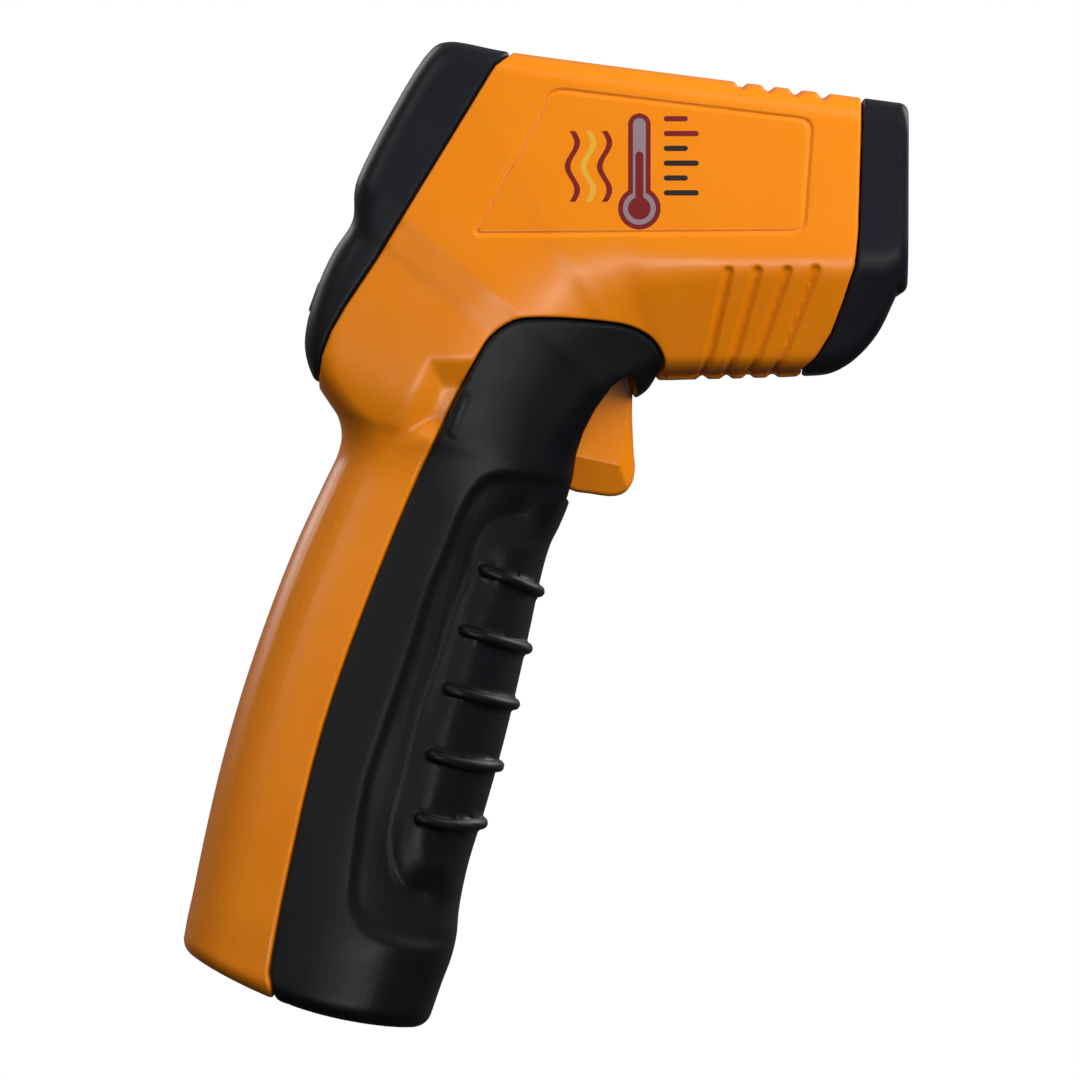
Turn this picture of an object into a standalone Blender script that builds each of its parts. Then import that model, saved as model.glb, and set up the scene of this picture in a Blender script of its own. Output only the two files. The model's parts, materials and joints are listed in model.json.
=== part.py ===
"""Gun-form infrared thermometer: hollow moulded body, flip-down battery door, trigger, buttons and optics.

Values below are millimetres; meshes are made in metres. +X is the way the thermometer points,
+Z is up with the head level, and the origin is the middle of the grip.
"""

import math

import bmesh
import bpy
import numpy as np
from mathutils import Matrix, Vector

MM = 0.001
GAP = 0.3
NAME = "infrared_thermometer"

# Body
HEAD_HALF = 21.5
WALL = 2.2
FRONT_X = 79.3
BOTTOM_ROUND = 3.0
FRONT_ROUND = 1.6
BOTTOM_BOW = 2.2
# Most of a side that a corner's rounding may use: of a side that meets the middle, and of the others
END_SHARE = 0.9
SIDE_SHARE = 0.46

# Optics, both along +X
SENSOR_Z = 76.4
SENSOR_R = 8.5
LASER_Z = 88.0
LASER_R = 2.4

# Display, on the slanted rear face
DISPLAY_AT = (-0.6, 91.65)
DISPLAY_IN = (0.8669, -0.4985)
DISPLAY_SIZE = (18.0, 33.0)
BOARD_DEPTH = 9.5

# Keypad, on the bulge below the display
KEYPAD_AT = (-13.15, 63.1)
KEYPAD_IN = (0.942, -0.3357)
BUTTON_SIZE = (5.2, 7.2)
BUTTON_PITCH = 9.0
KEY_PROUD = 0.25

# Trigger, hinged above its finger piece
TRIGGER_PIVOT = (31.4, 54.6)
TRIGGER_HALF = 5.4
PIN_R = 1.2
PLUNGER_Z = 43.0
SPRING_Z = 36.6

# Battery door, hinged at the heel of the grip
DOOR_PIVOT = (-17.3, -45.2)
DOOR_CORNER_R = 2.6
DOOR_PIN_R = 1.0

# Two AAA cells side by side, leaning with the grip
CELL_AT = (1.0, -10.5)
CELL_UP = (0.287, 0.958)
CELL_R = 5.25
CELL_LENGTH = 44.5
CELL_Y = 5.4

# Front line of the grip and underside of the head, from the heel to the muzzle, as (x, z)
FRONT_LINE = [
    (4.9, -49.2), (6.6, -44.3), (8.0, -40.6), (8.9, -37.0), (9.3, -33.0), (10.6, -26.2), (12.9, -18.6),
    (14.6, -12.8), (16.7, -5.0), (18.6, 3.0), (20.5, 11.6), (22.4, 20.4), (23.7, 24.6), (25.3, 27.6),
    (26.7, 30.4), (27.7, 33.6), (28.9, 37.4), (30.6, 41.2), (33.0, 44.8), (35.0, 46.5), (36.8, 47.3),
    (38.6, 48.5), (40.2, 50.1), (43.0, 50.3), (54.0, 50.6), (62.8, 50.9), (67.8, 51.4), (71.0, 53.2),
    (74.6, 57.2), (77.6, 63.4),
]  # fmt: skip
# Back line of the grip, keypad, display face and top of the head, from the heel to the muzzle
BACK_LINE = [
    (-33.75, -36.5), (-33.3, -34.0), (-32.65, -31.1), (-30.3, -19.8), (-27.6, -8.5), (-24.3, 2.8),
    (-20.4, 14.1), (-15.9, 25.4), (-11.5, 34.8), (-9.7, 38.6), (-9.1, 41.4), (-9.6, 44.3), (-10.9, 46.4),
    (-12.9, 49.5), (-14.2, 52.4), (-14.75, 55.6), (-14.3, 59.3), (-13.2, 63.1), (-11.8, 66.9),
    (-9.9, 70.6), (-7.7, 73.8), (-7.05, 75.5), (-6.9, 79.4), (-6.2, 81.9), (5.0, 101.4), (7.4, 102.6),
    (17.4, 101.0), (72.1, 93.9), (77.7, 93.15),
]  # fmt: skip
# Each station joins a point of the front line to one of the back line, by numbers that may fall between
# points. Then come the half section's sizes: half-width at the front line, distance of the side's break from
# the front line, half-widths at the break and at the back line, and how far each of the three corners is
# rounded.
STATIONS = [
    (0.0, 0.0, 8.5, 12.0, 16.4, 10.0, 8.0, 9.0, 8.0),
    (2.0, 2.0, 9.0, 13.0, 17.0, 10.8, 9.0, 11.0, 9.0),
    (6.0, 4.0, 9.5, 14.0, 17.3, 11.2, 9.5, 12.0, 9.5),
    (8.0, 5.0, 9.5, 14.0, 17.3, 11.2, 9.5, 12.0, 9.5),
    (9.4, 6.0, 9.5, 13.5, 17.2, 11.2, 9.5, 12.0, 9.5),
    (10.8, 7.0, 9.5, 13.5, 17.0, 11.2, 9.5, 12.0, 9.5),
    (12.3, 8.0, 9.7, 13.5, 17.0, 11.6, 9.5, 12.0, 9.0),
    (14.0, 10.0, 10.0, 14.0, 17.5, 12.6, 9.0, 11.0, 8.0),
    (15.0, 12.0, 10.3, 15.0, 18.0, 14.4, 8.5, 10.0, 6.5),
    (16.2, 15.0, 10.8, 17.0, 19.0, 16.4, 8.0, 8.5, 5.5),
    (17.1, 18.0, 11.2, 18.5, 20.0, 18.6, 7.0, 9.0, 5.0),
    (18.0, 21.0, 11.6, 19.5, 21.0, 20.6, 6.5, 9.5, 4.5),
    (19.0, 23.0, 12.0, 20.0, HEAD_HALF, HEAD_HALF, 6.0, 9.5, 4.5),
    (20.0, 24.2, 12.0, 20.2, HEAD_HALF, HEAD_HALF, 5.5, 9.0, 4.5),
    (21.0, 25.2, 12.0, 19.5, HEAD_HALF, HEAD_HALF, 5.0, 8.0, 4.5),
    (22.0, 26.1, 12.2, 18.2, HEAD_HALF, HEAD_HALF, 4.5, 6.0, 4.5),
    (23.0, 26.3, 12.4, 17.6, HEAD_HALF, HEAD_HALF, 4.0, 4.0, 4.5),
    (24.0, 26.65, 12.5, 17.2, HEAD_HALF, HEAD_HALF, 4.0, 2.5, 4.5),
    (25.0, 26.85, 12.5, 17.0, HEAD_HALF, HEAD_HALF, 4.0, 2.5, 4.5),
    (27.0, 27.0, 13.4, 14.8, HEAD_HALF, HEAD_HALF, 4.0, 2.5, 4.5),
    (29.0, 28.0, 18.0, 5.6, HEAD_HALF, HEAD_HALF, 3.0, 2.5, 4.5),
]

# Seams between the coloured mouldings, as (x, z); each runs on past the body at both ends
REAR_SEAM = [
    (19.2, 104.0), (17.4, 101.0), (14.9, 98.9), (-3.5, 68.8), (-8.6, 61.2), (-10.8, 57.5),
    (-12.3, 53.8), (-12.9, 49.8), (-13.0, 46.0),
]  # fmt: skip
FRONT_SEAM = [
    (72.2, 97.0), (72.1, 93.9), (71.5, 73.0), (71.0, 67.5), (69.2, 61.9), (67.4, 57.1), (65.2, 53.5),
    (63.0, 50.9), (61.0, 48.5),
]  # fmt: skip
DOOR_SEAM = [
    (-20.4, -42.4), (-18.7, -33.0), (-17.1, -25.4), (-13.7, -10.4), (-10.4, 0.9), (-6.4, 12.2),
    (-2.0, 23.5), (2.8, 34.9), (6.5, 42.4), (10.4, 49.9), (12.2, 53.4), (14.4, 56.7), (17.9, 59.0),
    (22.0, 59.5), (31.4, 58.9), (36.1, 58.1), (39.4, 56.2), (41.1, 53.4), (41.1, 51.8), (40.0, 49.6),
    (39.0, 47.0),
]  # fmt: skip
# Finger piece's notch in the door's front edge, and the slot behind it that the trigger swings in
NOTCH = [(26.6, 31.4), (27.4, 34.6), (27.9, 38.3), (29.0, 41.8), (30.9, 45.5), (33.3, 48.8), (35.0, 50.2),
         (36.95, 50.6), (36.95, 43.0), (40.0, 31.4)]  # fmt: skip
SLOT = [(19.0, 31.4), (19.0, 57.0), (36.95, 57.0), (36.95, 31.4)]
SLOT_HALF = 6.1

# Trigger's outline on its own half-widths, from the bottom up: z, back x, front x, half-width, rounding
TRIGGER_LEVELS = [
    (32.0, 29.6, 34.3, 2.6, 0.9), (32.5, 26.0, 35.2, 3.7, 1.3), (34.3, 24.9, 36.5, 4.5, 1.9),
    (36.6, 24.5, 36.85, 5.1, 2.2), (38.4, 24.5, 36.6, TRIGGER_HALF, 2.2),
    (42.0, 24.5, 36.4, TRIGGER_HALF, 2.2), (48.0, 25.6, 36.5, TRIGGER_HALF, 2.0),
    (50.3, 27.0, 36.5, TRIGGER_HALF, 1.8), (54.6, 28.2, 34.9, TRIGGER_HALF, 1.4),
    (57.2, 29.2, 33.6, TRIGGER_HALF, 1.0),
]  # fmt: skip

# Screws through the left half into the right one: (x, z) and the body's half-width there
SCREWS = {
    "screw_top": (25.0, 90.5, 21.5),
    "screw_front": (46.0, 60.0, 17.4),
    "screw_grip": (-19.4, -18.0, 13.6),
}
# Heights of the finger ribs where they cross the front of the grip, and how far back they reach
RIB_HEIGHTS = [16.6, 7.8, -0.8, -10.4, -19.2]
RIB_REACH = 9.5
RIB_RADIUS = 1.15
GROOVE_TOP_X = [51.3, 55.9, 60.4, 64.8]
# Short notches across the head's top edge: first place, pitch, and half-length to each side of the middle
TOP_NOTCH_X = 53.2
TOP_NOTCH_PITCH = 4.27
TOP_NOTCH_REACH = 13.0
TOP_LINE_START = (17.4, 101.0)
TOP_LINE_FALL = 0.1298
# Recess for the finger that opens the door: its outline, and how far its floor slopes in towards the seam
THUMB_NOTCH = [(4.7, 53.1), (14.1, 53.6), (6.7, 39.3), (-1.1, 41.5)]
THUMB_FLOOR = 17.9
THUMB_SLOPE = 0.13
THUMB_MIDDLE_X = 7.0


# ---------------------------------------------------------------- helpers


def clear_scene():
    for obj in list(bpy.data.objects):
        bpy.data.objects.remove(obj, do_unlink=True)


def new_collection(name):
    made = bpy.data.collections.new(name)
    bpy.context.scene.collection.children.link(made)
    return made


def material(name, colour, roughness, metallic=0.0, transmission=0.0):
    made = bpy.data.materials.new(name)
    made.use_nodes = True
    shader = made.node_tree.nodes["Principled BSDF"]
    shader.inputs["Base Color"].default_value = (*colour, 1.0)
    shader.inputs["Roughness"].default_value = roughness
    shader.inputs["Metallic"].default_value = metallic
    shader.inputs["Transmission Weight"].default_value = transmission
    return made


def add_object(name, mesh, mat=None):
    obj = bpy.data.objects.new(name, mesh)
    if mat is None:
        CUTTERS.objects.link(obj)
        obj.hide_render = True
        obj.display_type = "WIRE"
    else:
        PARTS.objects.link(obj)
        mesh.materials.append(mat)
        mesh.shade_smooth()
        mesh.set_sharp_from_angle(angle=math.radians(32))
    return obj


def mesh_from(bm, name):
    bm.normal_update()
    bmesh.ops.recalc_face_normals(bm, faces=bm.faces)
    mesh = bpy.data.meshes.new(name)
    bm.to_mesh(mesh)
    bm.free()
    return mesh


def boolean(obj, other, operation="DIFFERENCE"):
    modifier = obj.modifiers.new(f"{operation.lower()}_{other.name}", "BOOLEAN")
    modifier.operation = operation
    modifier.solver = "EXACT"
    modifier.object = other
    return modifier


def bevel(obj, width, segments=2):
    modifier = obj.modifiers.new("rounding", "BEVEL")
    modifier.width = width * MM
    modifier.segments = segments
    modifier.limit_method = "ANGLE"
    modifier.angle_limit = math.radians(50)


def frame_matrix(at, inward):
    """Local +Z along an (x, z) direction from an (x, z) place, with +Y across the body."""
    z_axis = Vector((inward[0], 0, inward[1])).normalized()
    y_axis = Vector((0, 1, 0))
    x_axis = y_axis.cross(z_axis)
    turned = Matrix((x_axis, y_axis, z_axis)).transposed().to_4x4()
    return Matrix.Translation(Vector((at[0], 0, at[1])) * MM) @ turned


DISPLAY = frame_matrix(DISPLAY_AT, DISPLAY_IN)
KEYPAD = frame_matrix(KEYPAD_AT, KEYPAD_IN)
CELLS = frame_matrix(CELL_AT, CELL_UP)
WORLD = Matrix.Identity(4)


def block(name, low, high, mat=None, place=WORLD):
    """A box between two corners, in millimetres of the place's own axes."""
    low, high = Vector(low) * MM, Vector(high) * MM
    bm = bmesh.new()
    bmesh.ops.create_cube(bm, size=1.0)
    bmesh.ops.scale(bm, vec=high - low, verts=bm.verts)
    bmesh.ops.translate(bm, vec=(low + high) / 2, verts=bm.verts)
    bm.transform(place)
    return add_object(name, mesh_from(bm, name), mat)


def rod(name, start, end, radius, mat=None, place=WORLD, segments=24, end_radius=None):
    """A cylinder or cone between two points, in millimetres of the place's own axes."""
    start, end = Vector(start) * MM, Vector(end) * MM
    bm = bmesh.new()
    bmesh.ops.create_cone(
        bm,
        cap_ends=True,
        segments=segments,
        radius1=radius * MM,
        radius2=(radius if end_radius is None else end_radius) * MM,
        depth=(end - start).length,
    )
    turned = (end - start).to_track_quat("Z", "Y").to_matrix().to_4x4()
    bm.transform(place @ Matrix.Translation((start + end) / 2) @ turned)
    return add_object(name, mesh_from(bm, name), mat)


def turned(name, profile, z, mat, steps=32):
    """A closed (x, radius) profile turned about the line along X at height z."""
    mesh = bpy.data.meshes.new(name)
    points = [(x * MM, 0, r * MM) for x, r in profile]
    closed = profile[0][1] > 0
    edges = [(i, i + 1) for i in range(len(points) - 1)]
    if closed:
        edges.append((len(points) - 1, 0))
    mesh.from_pydata(points, edges, [])
    obj = add_object(name, mesh, mat)
    obj.location.z = z * MM
    screw = obj.modifiers.new("turn", "SCREW")
    screw.axis = "X"
    screw.steps = steps
    screw.render_steps = steps
    screw.use_merge_vertices = True
    screw.merge_threshold = 0.00001
    screw.use_normal_flip = True
    return obj


def outline_solid(name, points, y_low, y_high, mat=None):
    """A flat (x, z) outline made solid from y_low to y_high."""
    curve = bpy.data.curves.new(name, "CURVE")
    curve.dimensions = "2D"
    curve.fill_mode = "BOTH"
    curve.extrude = (y_high - y_low) / 2 * MM
    spline = curve.splines.new("POLY")
    spline.points.add(len(points) - 1)
    for point, (x, z) in zip(spline.points, points):
        point.co = (x * MM, z * MM, 0, 1)
    spline.use_cyclic_u = True
    guide = bpy.data.objects.new(name + "_curve", curve)
    bpy.context.scene.collection.objects.link(guide)
    graph = bpy.context.evaluated_depsgraph_get()
    mesh = bpy.data.meshes.new_from_object(guide.evaluated_get(graph))
    bpy.data.objects.remove(guide, do_unlink=True)
    bm = bmesh.new()
    bm.from_mesh(mesh)
    bpy.data.meshes.remove(mesh)
    bmesh.ops.remove_doubles(bm, verts=bm.verts, dist=1e-6)
    bmesh.ops.dissolve_limit(bm, angle_limit=0.001, verts=bm.verts, edges=bm.edges)
    upright = Matrix.Rotation(math.radians(90), 4, "X")
    bm.transform(Matrix.Translation((0, (y_low + y_high) / 2 * MM, 0)) @ upright)
    return add_object(name, mesh_from(bm, name), mat)


def wire(name, points, radius, mat, place=WORLD, resolution=1):
    """A round wire through the points, as a polyline with filled ends."""
    curve = bpy.data.curves.new(name, "CURVE")
    curve.dimensions = "3D"
    curve.bevel_depth = radius * MM
    curve.bevel_resolution = resolution
    curve.use_fill_caps = True
    spline = curve.splines.new("POLY")
    spline.points.add(len(points) - 1)
    for point, co in zip(spline.points, points):
        point.co = (*(Vector(co) * MM), 1)
    obj = bpy.data.objects.new(name, curve)
    obj.matrix_world = place
    if mat is not None:
        curve.materials.append(mat)
    PARTS.objects.link(obj)
    return obj


def move_origin(obj, pivot):
    """Puts a moving piece's origin on its joint's axis at (x, z)."""
    shift = Vector((pivot[0], 0, pivot[1])) * MM - obj.location
    obj.data.transform(Matrix.Translation(-shift))
    obj.location += shift


# ---------------------------------------------------------------- the body's surface


def smooth_line(points, per_span=8):
    """A centripetal Catmull-Rom curve through the points, with the index of each sample in the points."""
    points = np.array(points, float)
    ends = np.vstack([2 * points[0] - points[1], points, 2 * points[-1] - points[-2]])
    found, index = [], []
    for i in range(len(points) - 1):
        p = ends[i : i + 4]
        knots = np.concatenate([[0], np.cumsum(np.linalg.norm(np.diff(p, axis=0), axis=1) ** 0.5)])
        t = np.linspace(knots[1], knots[2], per_span, endpoint=False)[:, None]
        a = [
            (knots[k + 1] - t) / (knots[k + 1] - knots[k]) * p[k]
            + (t - knots[k]) / (knots[k + 1] - knots[k]) * p[k + 1]
            for k in range(3)
        ]
        b = [
            (knots[k + 2] - t) / (knots[k + 2] - knots[k]) * a[k]
            + (t - knots[k]) / (knots[k + 2] - knots[k]) * a[k + 1]
            for k in range(2)
        ]
        share = (t - knots[1]) / (knots[2] - knots[1])
        found.append((1 - share) * b[0] + share * b[1])
        index.append(i + np.arange(per_span) / per_span)
    return np.vstack([*found, points[-1:]]), np.concatenate([*index, [len(points) - 1]])


def monotone(keys, values, at):
    """Monotone cubic interpolation of values given at the keys."""
    keys, values = np.array(keys, float), np.array(values, float)
    step, slope = np.diff(keys), np.diff(values) / np.diff(keys)
    tangent = np.zeros(len(keys))
    same_way = slope[:-1] * slope[1:] > 0
    weight_1, weight_2 = 2 * step[1:] + step[:-1], step[1:] + 2 * step[:-1]
    safe = np.where(same_way, slope[:-1] * slope[1:], 1)
    inner = (weight_1 + weight_2) * safe / (weight_1 * slope[1:] + weight_2 * slope[:-1] + 1e-12)
    tangent[1:-1] = np.where(same_way, inner, 0)
    tangent[0], tangent[-1] = slope[0], slope[-1]
    i = np.clip(np.searchsorted(keys, at, side="right") - 1, 0, len(step) - 1)
    u = (at - keys[i]) / step[i]
    return (
        (1 + 2 * u) * (1 - u) ** 2 * values[i]
        + u * (1 - u) ** 2 * step[i] * tangent[i]
        + u * u * (3 - 2 * u) * values[i + 1]
        + u * u * (u - 1) * step[i] * tangent[i + 1]
    )


def body_rows(at, inset=0.0):
    """Chords and half-section sizes of the body at station numbers, drawn in by a wall's thickness."""
    table = np.array(STATIONS)
    number = np.arange(len(table))
    rows = []
    for line, column in ((FRONT_LINE, 0), (BACK_LINE, 1)):
        curve, index = smooth_line(line)
        where = monotone(number, table[:, column], at)
        rows.append(np.stack([np.interp(where, index, curve[:, k]) for k in range(2)], -1))
    sizes = [monotone(number, table[:, k], at) for k in range(2, 9)]
    front, back = rows
    across = (back - front) / np.linalg.norm(back - front, axis=1, keepdims=True)
    front, back = front + across * inset, back - across * inset
    for k in (0, 2, 3):
        sizes[k] = sizes[k] - inset
    sizes[1] = np.maximum(sizes[1] - inset, 2.0)
    return front, back, sizes


def half_sections(length, sizes, counts):
    """Half sections as arrays (station, point) of distance from the front line and of y."""
    front_half, break_at, break_half, back_half, round_1, round_2, round_3 = sizes
    nought = np.zeros_like(length)
    along = (nought, nought, break_at, length, length)
    out = (nought, front_half, break_half, back_half, nought)
    corners = [np.stack(pair, -1) for pair in zip(along, out)]
    sides = [b - a for a, b in zip(corners, corners[1:])]
    lengths = [np.linalg.norm(side, axis=-1) for side in sides]
    points, start = [], corners[0]
    for i, rounding in enumerate((round_1, round_2, round_3)):
        before = np.minimum(rounding, lengths[i] * (END_SHARE if i == 0 else SIDE_SHARE)) / lengths[i]
        after = np.minimum(rounding, lengths[i + 1] * (END_SHARE if i == 2 else SIDE_SHARE)) / lengths[i + 1]
        bend_in = corners[i + 1] - sides[i] * before[:, None]
        bend_out = corners[i + 1] + sides[i + 1] * after[:, None]
        for k in range(counts[2 * i]):
            points.append(start + (bend_in - start) * (k / counts[2 * i]))
        for k in range(counts[2 * i + 1]):
            u = k / counts[2 * i + 1]
            points.append((1 - u) ** 2 * bend_in + 2 * u * (1 - u) * corners[i + 1] + u * u * bend_out)
        start = bend_out
    for k in range(counts[6] + 1):
        points.append(start + (corners[4] - start) * (k / counts[6]))
    return np.stack(points, 1)


def rings_of_body(at, counts, inset=0.0, round_ends=True):
    """Points (station, point, xyz) of the body's right half, with rounded ends."""
    front, back, sizes = body_rows(at, inset)
    length = np.linalg.norm(back - front, axis=1)
    half = half_sections(length, sizes, counts)
    along = (back - front) / length[:, None]
    place = front[:, None] + along[:, None] * half[..., :1]
    rings = np.stack([place[..., 0], half[..., 1], place[..., 1]], -1)
    if not round_ends:
        return rings
    bow = BOTTOM_BOW * np.clip(1 - at / 1.2, 0, 1) ** 2
    share = half[..., 0] / length[:, None]
    normal = np.array([along[0, 1], 0, -along[0, 0]])
    normal = normal if normal[2] < 0 else -normal
    rings += (bow[:, None] * 4 * share * (1 - share))[..., None] * normal
    heel = cap_rings(rings[0], normal, BOTTOM_ROUND)[::-1]
    muzzle = cap_rings(rings[-1], np.array([1.0, 0, 0]), FRONT_ROUND)
    return np.concatenate([heel, rings, muzzle])


def cap_rings(ring, normal, radius, steps=3):
    """Rings that round an end over: each moves out and draws in along a quarter circle."""
    middle = (ring[0] + ring[-1]) / 2
    half_length = np.linalg.norm(ring[-1] - ring[0]) / 2
    along = (ring[-1] - ring[0]) / (2 * half_length)
    widest = ring[:, 1].max()
    found = []
    for k in range(1, steps + 1):
        turn = math.pi / 2 * k / steps
        draw = radius * (1 - math.cos(turn))
        offset = ring - middle
        lengthwise = offset @ along
        moved = ring - np.outer(lengthwise * (draw / half_length), along)
        moved[:, 1] = ring[:, 1] * (1 - draw / widest)
        found.append(moved + normal * radius * math.sin(turn))
    return np.stack(found)


def body_stations(tolerance):
    """Station numbers, closest where the body's outlines or widths bend."""
    dense = np.linspace(0, len(STATIONS) - 1, 1201)
    front, back, sizes = body_rows(dense)
    shape = np.column_stack([front, back, sizes[0], sizes[2] * 2, sizes[3] * 2, sizes[1] / 2])
    kept, start = [0], 0
    for end in range(2, len(dense)):
        share = ((dense[start : end + 1] - dense[start]) / (dense[end] - dense[start]))[:, None]
        straight = shape[start] + (shape[end] - shape[start]) * share
        if np.abs(shape[start : end + 1] - straight).max() > tolerance:
            start = end - 1
            kept.append(start)
    return dense[[*kept, len(dense) - 1]]


def loft(rings):
    """A closed mesh through mirrored half rings, with its ends closed by strips across."""
    count, points = rings.shape[:2]
    bm = bmesh.new()
    right = [[bm.verts.new(Vector(p) * MM) for p in ring] for ring in rings]
    left = [
        [
            right[i][j] if j in (0, points - 1) else bm.verts.new(Vector((p[0], -p[1], p[2])) * MM)
            for j, p in enumerate(ring)
        ]
        for i, ring in enumerate(rings)
    ]
    for side in (right, left):
        for i in range(count - 1):
            for j in range(points - 1):
                bm.faces.new((side[i][j], side[i][j + 1], side[i + 1][j + 1], side[i + 1][j]))
    for i in (0, count - 1):
        spans = [range(3), *(range(j, j + 2) for j in range(2, points - 3)), range(points - 3, points)]
        for span in spans:
            corners = [right[i][j] for j in span] + [left[i][j] for j in reversed(span)]
            bm.faces.new(list(dict.fromkeys(corners)))
    return bm


def body_mesh(name, inset=0.0, first=0.0, last=None, tolerance=0.16, counts=(1, 3, 1, 3, 1, 3, 1)):
    at = body_stations(tolerance)
    if inset:
        at = np.unique(np.clip(at, first, last))
    return mesh_from(loft(rings_of_body(at, counts, inset, round_ends=not inset)), name)


# ---------------------------------------------------------------- regions and common cutters


def offset_line(points, distance):
    """An open line moved sideways, to its left when the distance is positive."""
    points = np.array(points, float)
    step = np.diff(points, axis=0)
    normal = np.column_stack([-step[:, 1], step[:, 0]]) / np.linalg.norm(step, axis=1)[:, None]
    joint = np.vstack([normal[:1], normal[:-1] + normal[1:], normal[-1:]])
    joint /= np.linalg.norm(joint, axis=1)[:, None]
    lean = np.concatenate([[1], (joint[1:-1] * normal[:-1]).sum(1), [1]])
    return [tuple(p) for p in points + joint * (distance / lean)[:, None]]


def door_outline(grow):
    """The door's region, its lower rear corner an arc about the hinge."""
    seam = offset_line(smooth_line(DOOR_SEAM, 2)[0], grow)
    arc = []
    for k in range(9):
        turn = math.radians(-90 - 90 * k / 8)
        radius = DOOR_CORNER_R + grow
        arc.append((DOOR_PIVOT[0] + radius * math.cos(turn), DOOR_PIVOT[1] + radius * math.sin(turn)))
    seam = [p for p in seam if p[1] > DOOR_PIVOT[1] + 2.0]
    return [*arc, *seam, (60.0, 40.0), (60.0, -70.0), (DOOR_PIVOT[0], -70.0)]


def region(name, grow=0.0):
    if name == "door":
        outline = door_outline(grow)
    elif name == "rear":
        outline = [*offset_line(REAR_SEAM, grow), (-40.0, 46.0), (-40.0, 120.0), (19.2, 120.0)]
    else:
        outline = [*offset_line(FRONT_SEAM, -grow), (90.0, 40.0), (90.0, 110.0)]
    return outline_solid(f"{name}_region_{'grown' if grow > 0 else 'trimmed'}", outline, -30, 30)


# ---------------------------------------------------------------- build

clear_scene()
PARTS = new_collection(NAME)
CUTTERS = new_collection("cutters")

ORANGE = material("orange_abs", (0.95, 0.24, 0.008), 0.42)
BLACK = material("black_abs", (0.014, 0.015, 0.017), 0.48)
RUBBER = material("black_rubber", (0.012, 0.012, 0.013), 0.7)
STEEL = material("steel", (0.62, 0.62, 0.64), 0.3, 1.0)
BRASS = material("brass", (0.72, 0.52, 0.22), 0.32, 1.0)
BOARD = material("circuit_board", (0.01, 0.12, 0.05), 0.5)
CLEAR = material("clear_window", (0.75, 0.78, 0.78), 0.1, 0.0, 0.7)
GLASS = material("display_glass", (0.3, 0.34, 0.3), 0.2)
WHITE = material("white_plastic", (0.8, 0.8, 0.78), 0.5)
LENS = material("infrared_lens", (0.32, 0.33, 0.34), 0.25)
CELL_WRAP = material("cell_wrap", (0.03, 0.05, 0.16), 0.35)
RED = material("red_wire", (0.6, 0.02, 0.02), 0.5)

OUTER = body_mesh("outer_body")
CAVITY = add_object("cavity", body_mesh("cavity", WALL, 0.25, 19.72, 0.3, (1, 2, 1, 2, 1, 2, 1)))
GROWN = {name: region(name, GAP / 2) for name in ("rear", "front", "door")}
TRIMMED = {name: region(name, -GAP / 2) for name in ("rear", "front", "door")}


def moulding(name, mat):
    return add_object(name, OUTER.copy(), mat)


def groove_cutters(side):
    """Slanting grip grooves low on one side of the head."""
    found = []
    for k, top_x in enumerate(GROOVE_TOP_X):
        start, end = (top_x, side * 22.1, 67.0), (top_x - 5.0, side * 11.6, 48.0)
        found.append(rod(f"groove_{k}_{side}", start, end, 1.0, segments=8))
    return found


def notch_cutters(side):
    """Short notches across the head's top edge."""
    found = []
    for k in range(4):
        x = TOP_NOTCH_X + TOP_NOTCH_PITCH * k
        z = TOP_LINE_START[1] - (x - TOP_LINE_START[0]) * TOP_LINE_FALL
        low, high = (-1, TOP_NOTCH_REACH) if side > 0 else (-TOP_NOTCH_REACH, 1)
        found.append(block(f"notch_{k}_{side}", (x - 0.7, low, z - 0.45), (x + 0.7, high, z + 1.5)))
    return found


def thumb_notch(side):
    """A recess beside the door's seam, deepest there, for the finger that pulls the door open."""
    low, high = (THUMB_FLOOR, 25.0) if side > 0 else (-25.0, -THUMB_FLOOR)
    cutter = outline_solid(f"thumb_notch_{side}", THUMB_NOTCH, low, high)
    slope = Matrix.Identity(4)
    slope[1][0] = -THUMB_SLOPE * side
    cutter.data.transform(Matrix.Translation((0, THUMB_SLOPE * side * THUMB_MIDDLE_X * MM, 0)) @ slope)
    return cutter


def screw_cutters(side):
    """Clearance for each screw: through the left half with a recess for its head, and blind in the right."""
    found = []
    for screw_name, (x, z, skin) in SCREWS.items():
        if side < 0:
            found.append(rod(f"{screw_name}_blind_hole", (x, -12, z), (x, 1, z), 1.2 + GAP, segments=12))
            continue
        found.append(rod(f"{screw_name}_shaft_hole", (x, -1, z), (x, skin, z), 1.2 + GAP, segments=12))
        found.append(rod(f"{screw_name}_head_hole", (x, skin - 4.5, z), (x, skin + 8, z), 2.5, segments=16))
    return found


def shell(name, side):
    """One moulded half of the orange body, with screw bosses, a hinge knuckle and the thumbnail notch."""
    obj = moulding(name, ORANGE)
    low, high = (GAP / 2, 40) if side > 0 else (-40, -GAP / 2)
    boolean(obj, block(f"{name}_half", (-60, low, -80), (100, high, 120)), "INTERSECT")
    for cutter in (CAVITY, *GROWN.values()):
        boolean(obj, cutter)
    for boss_name, (x, z, skin) in SCREWS.items():
        reach = skin - 1.2
        start, end = (GAP / 2, reach) if side > 0 else (-reach, -GAP / 2)
        boolean(obj, rod(f"{name}_{boss_name}_boss", (x, start, z), (x, end, z), 3.0, segments=16), "UNION")
    knuckle = outline_solid(f"{name}_knuckle", KNUCKLE, *((3.0, 5.0) if side > 0 else (-5.0, -3.0)))
    boolean(obj, knuckle, "UNION")
    grip_cutters = [*groove_cutters(side), *notch_cutters(side)]
    for cutter in (DOOR_PIN_HOLE, thumb_notch(side), *grip_cutters, *screw_cutters(side)):
        boolean(obj, cutter)
    return obj


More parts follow.
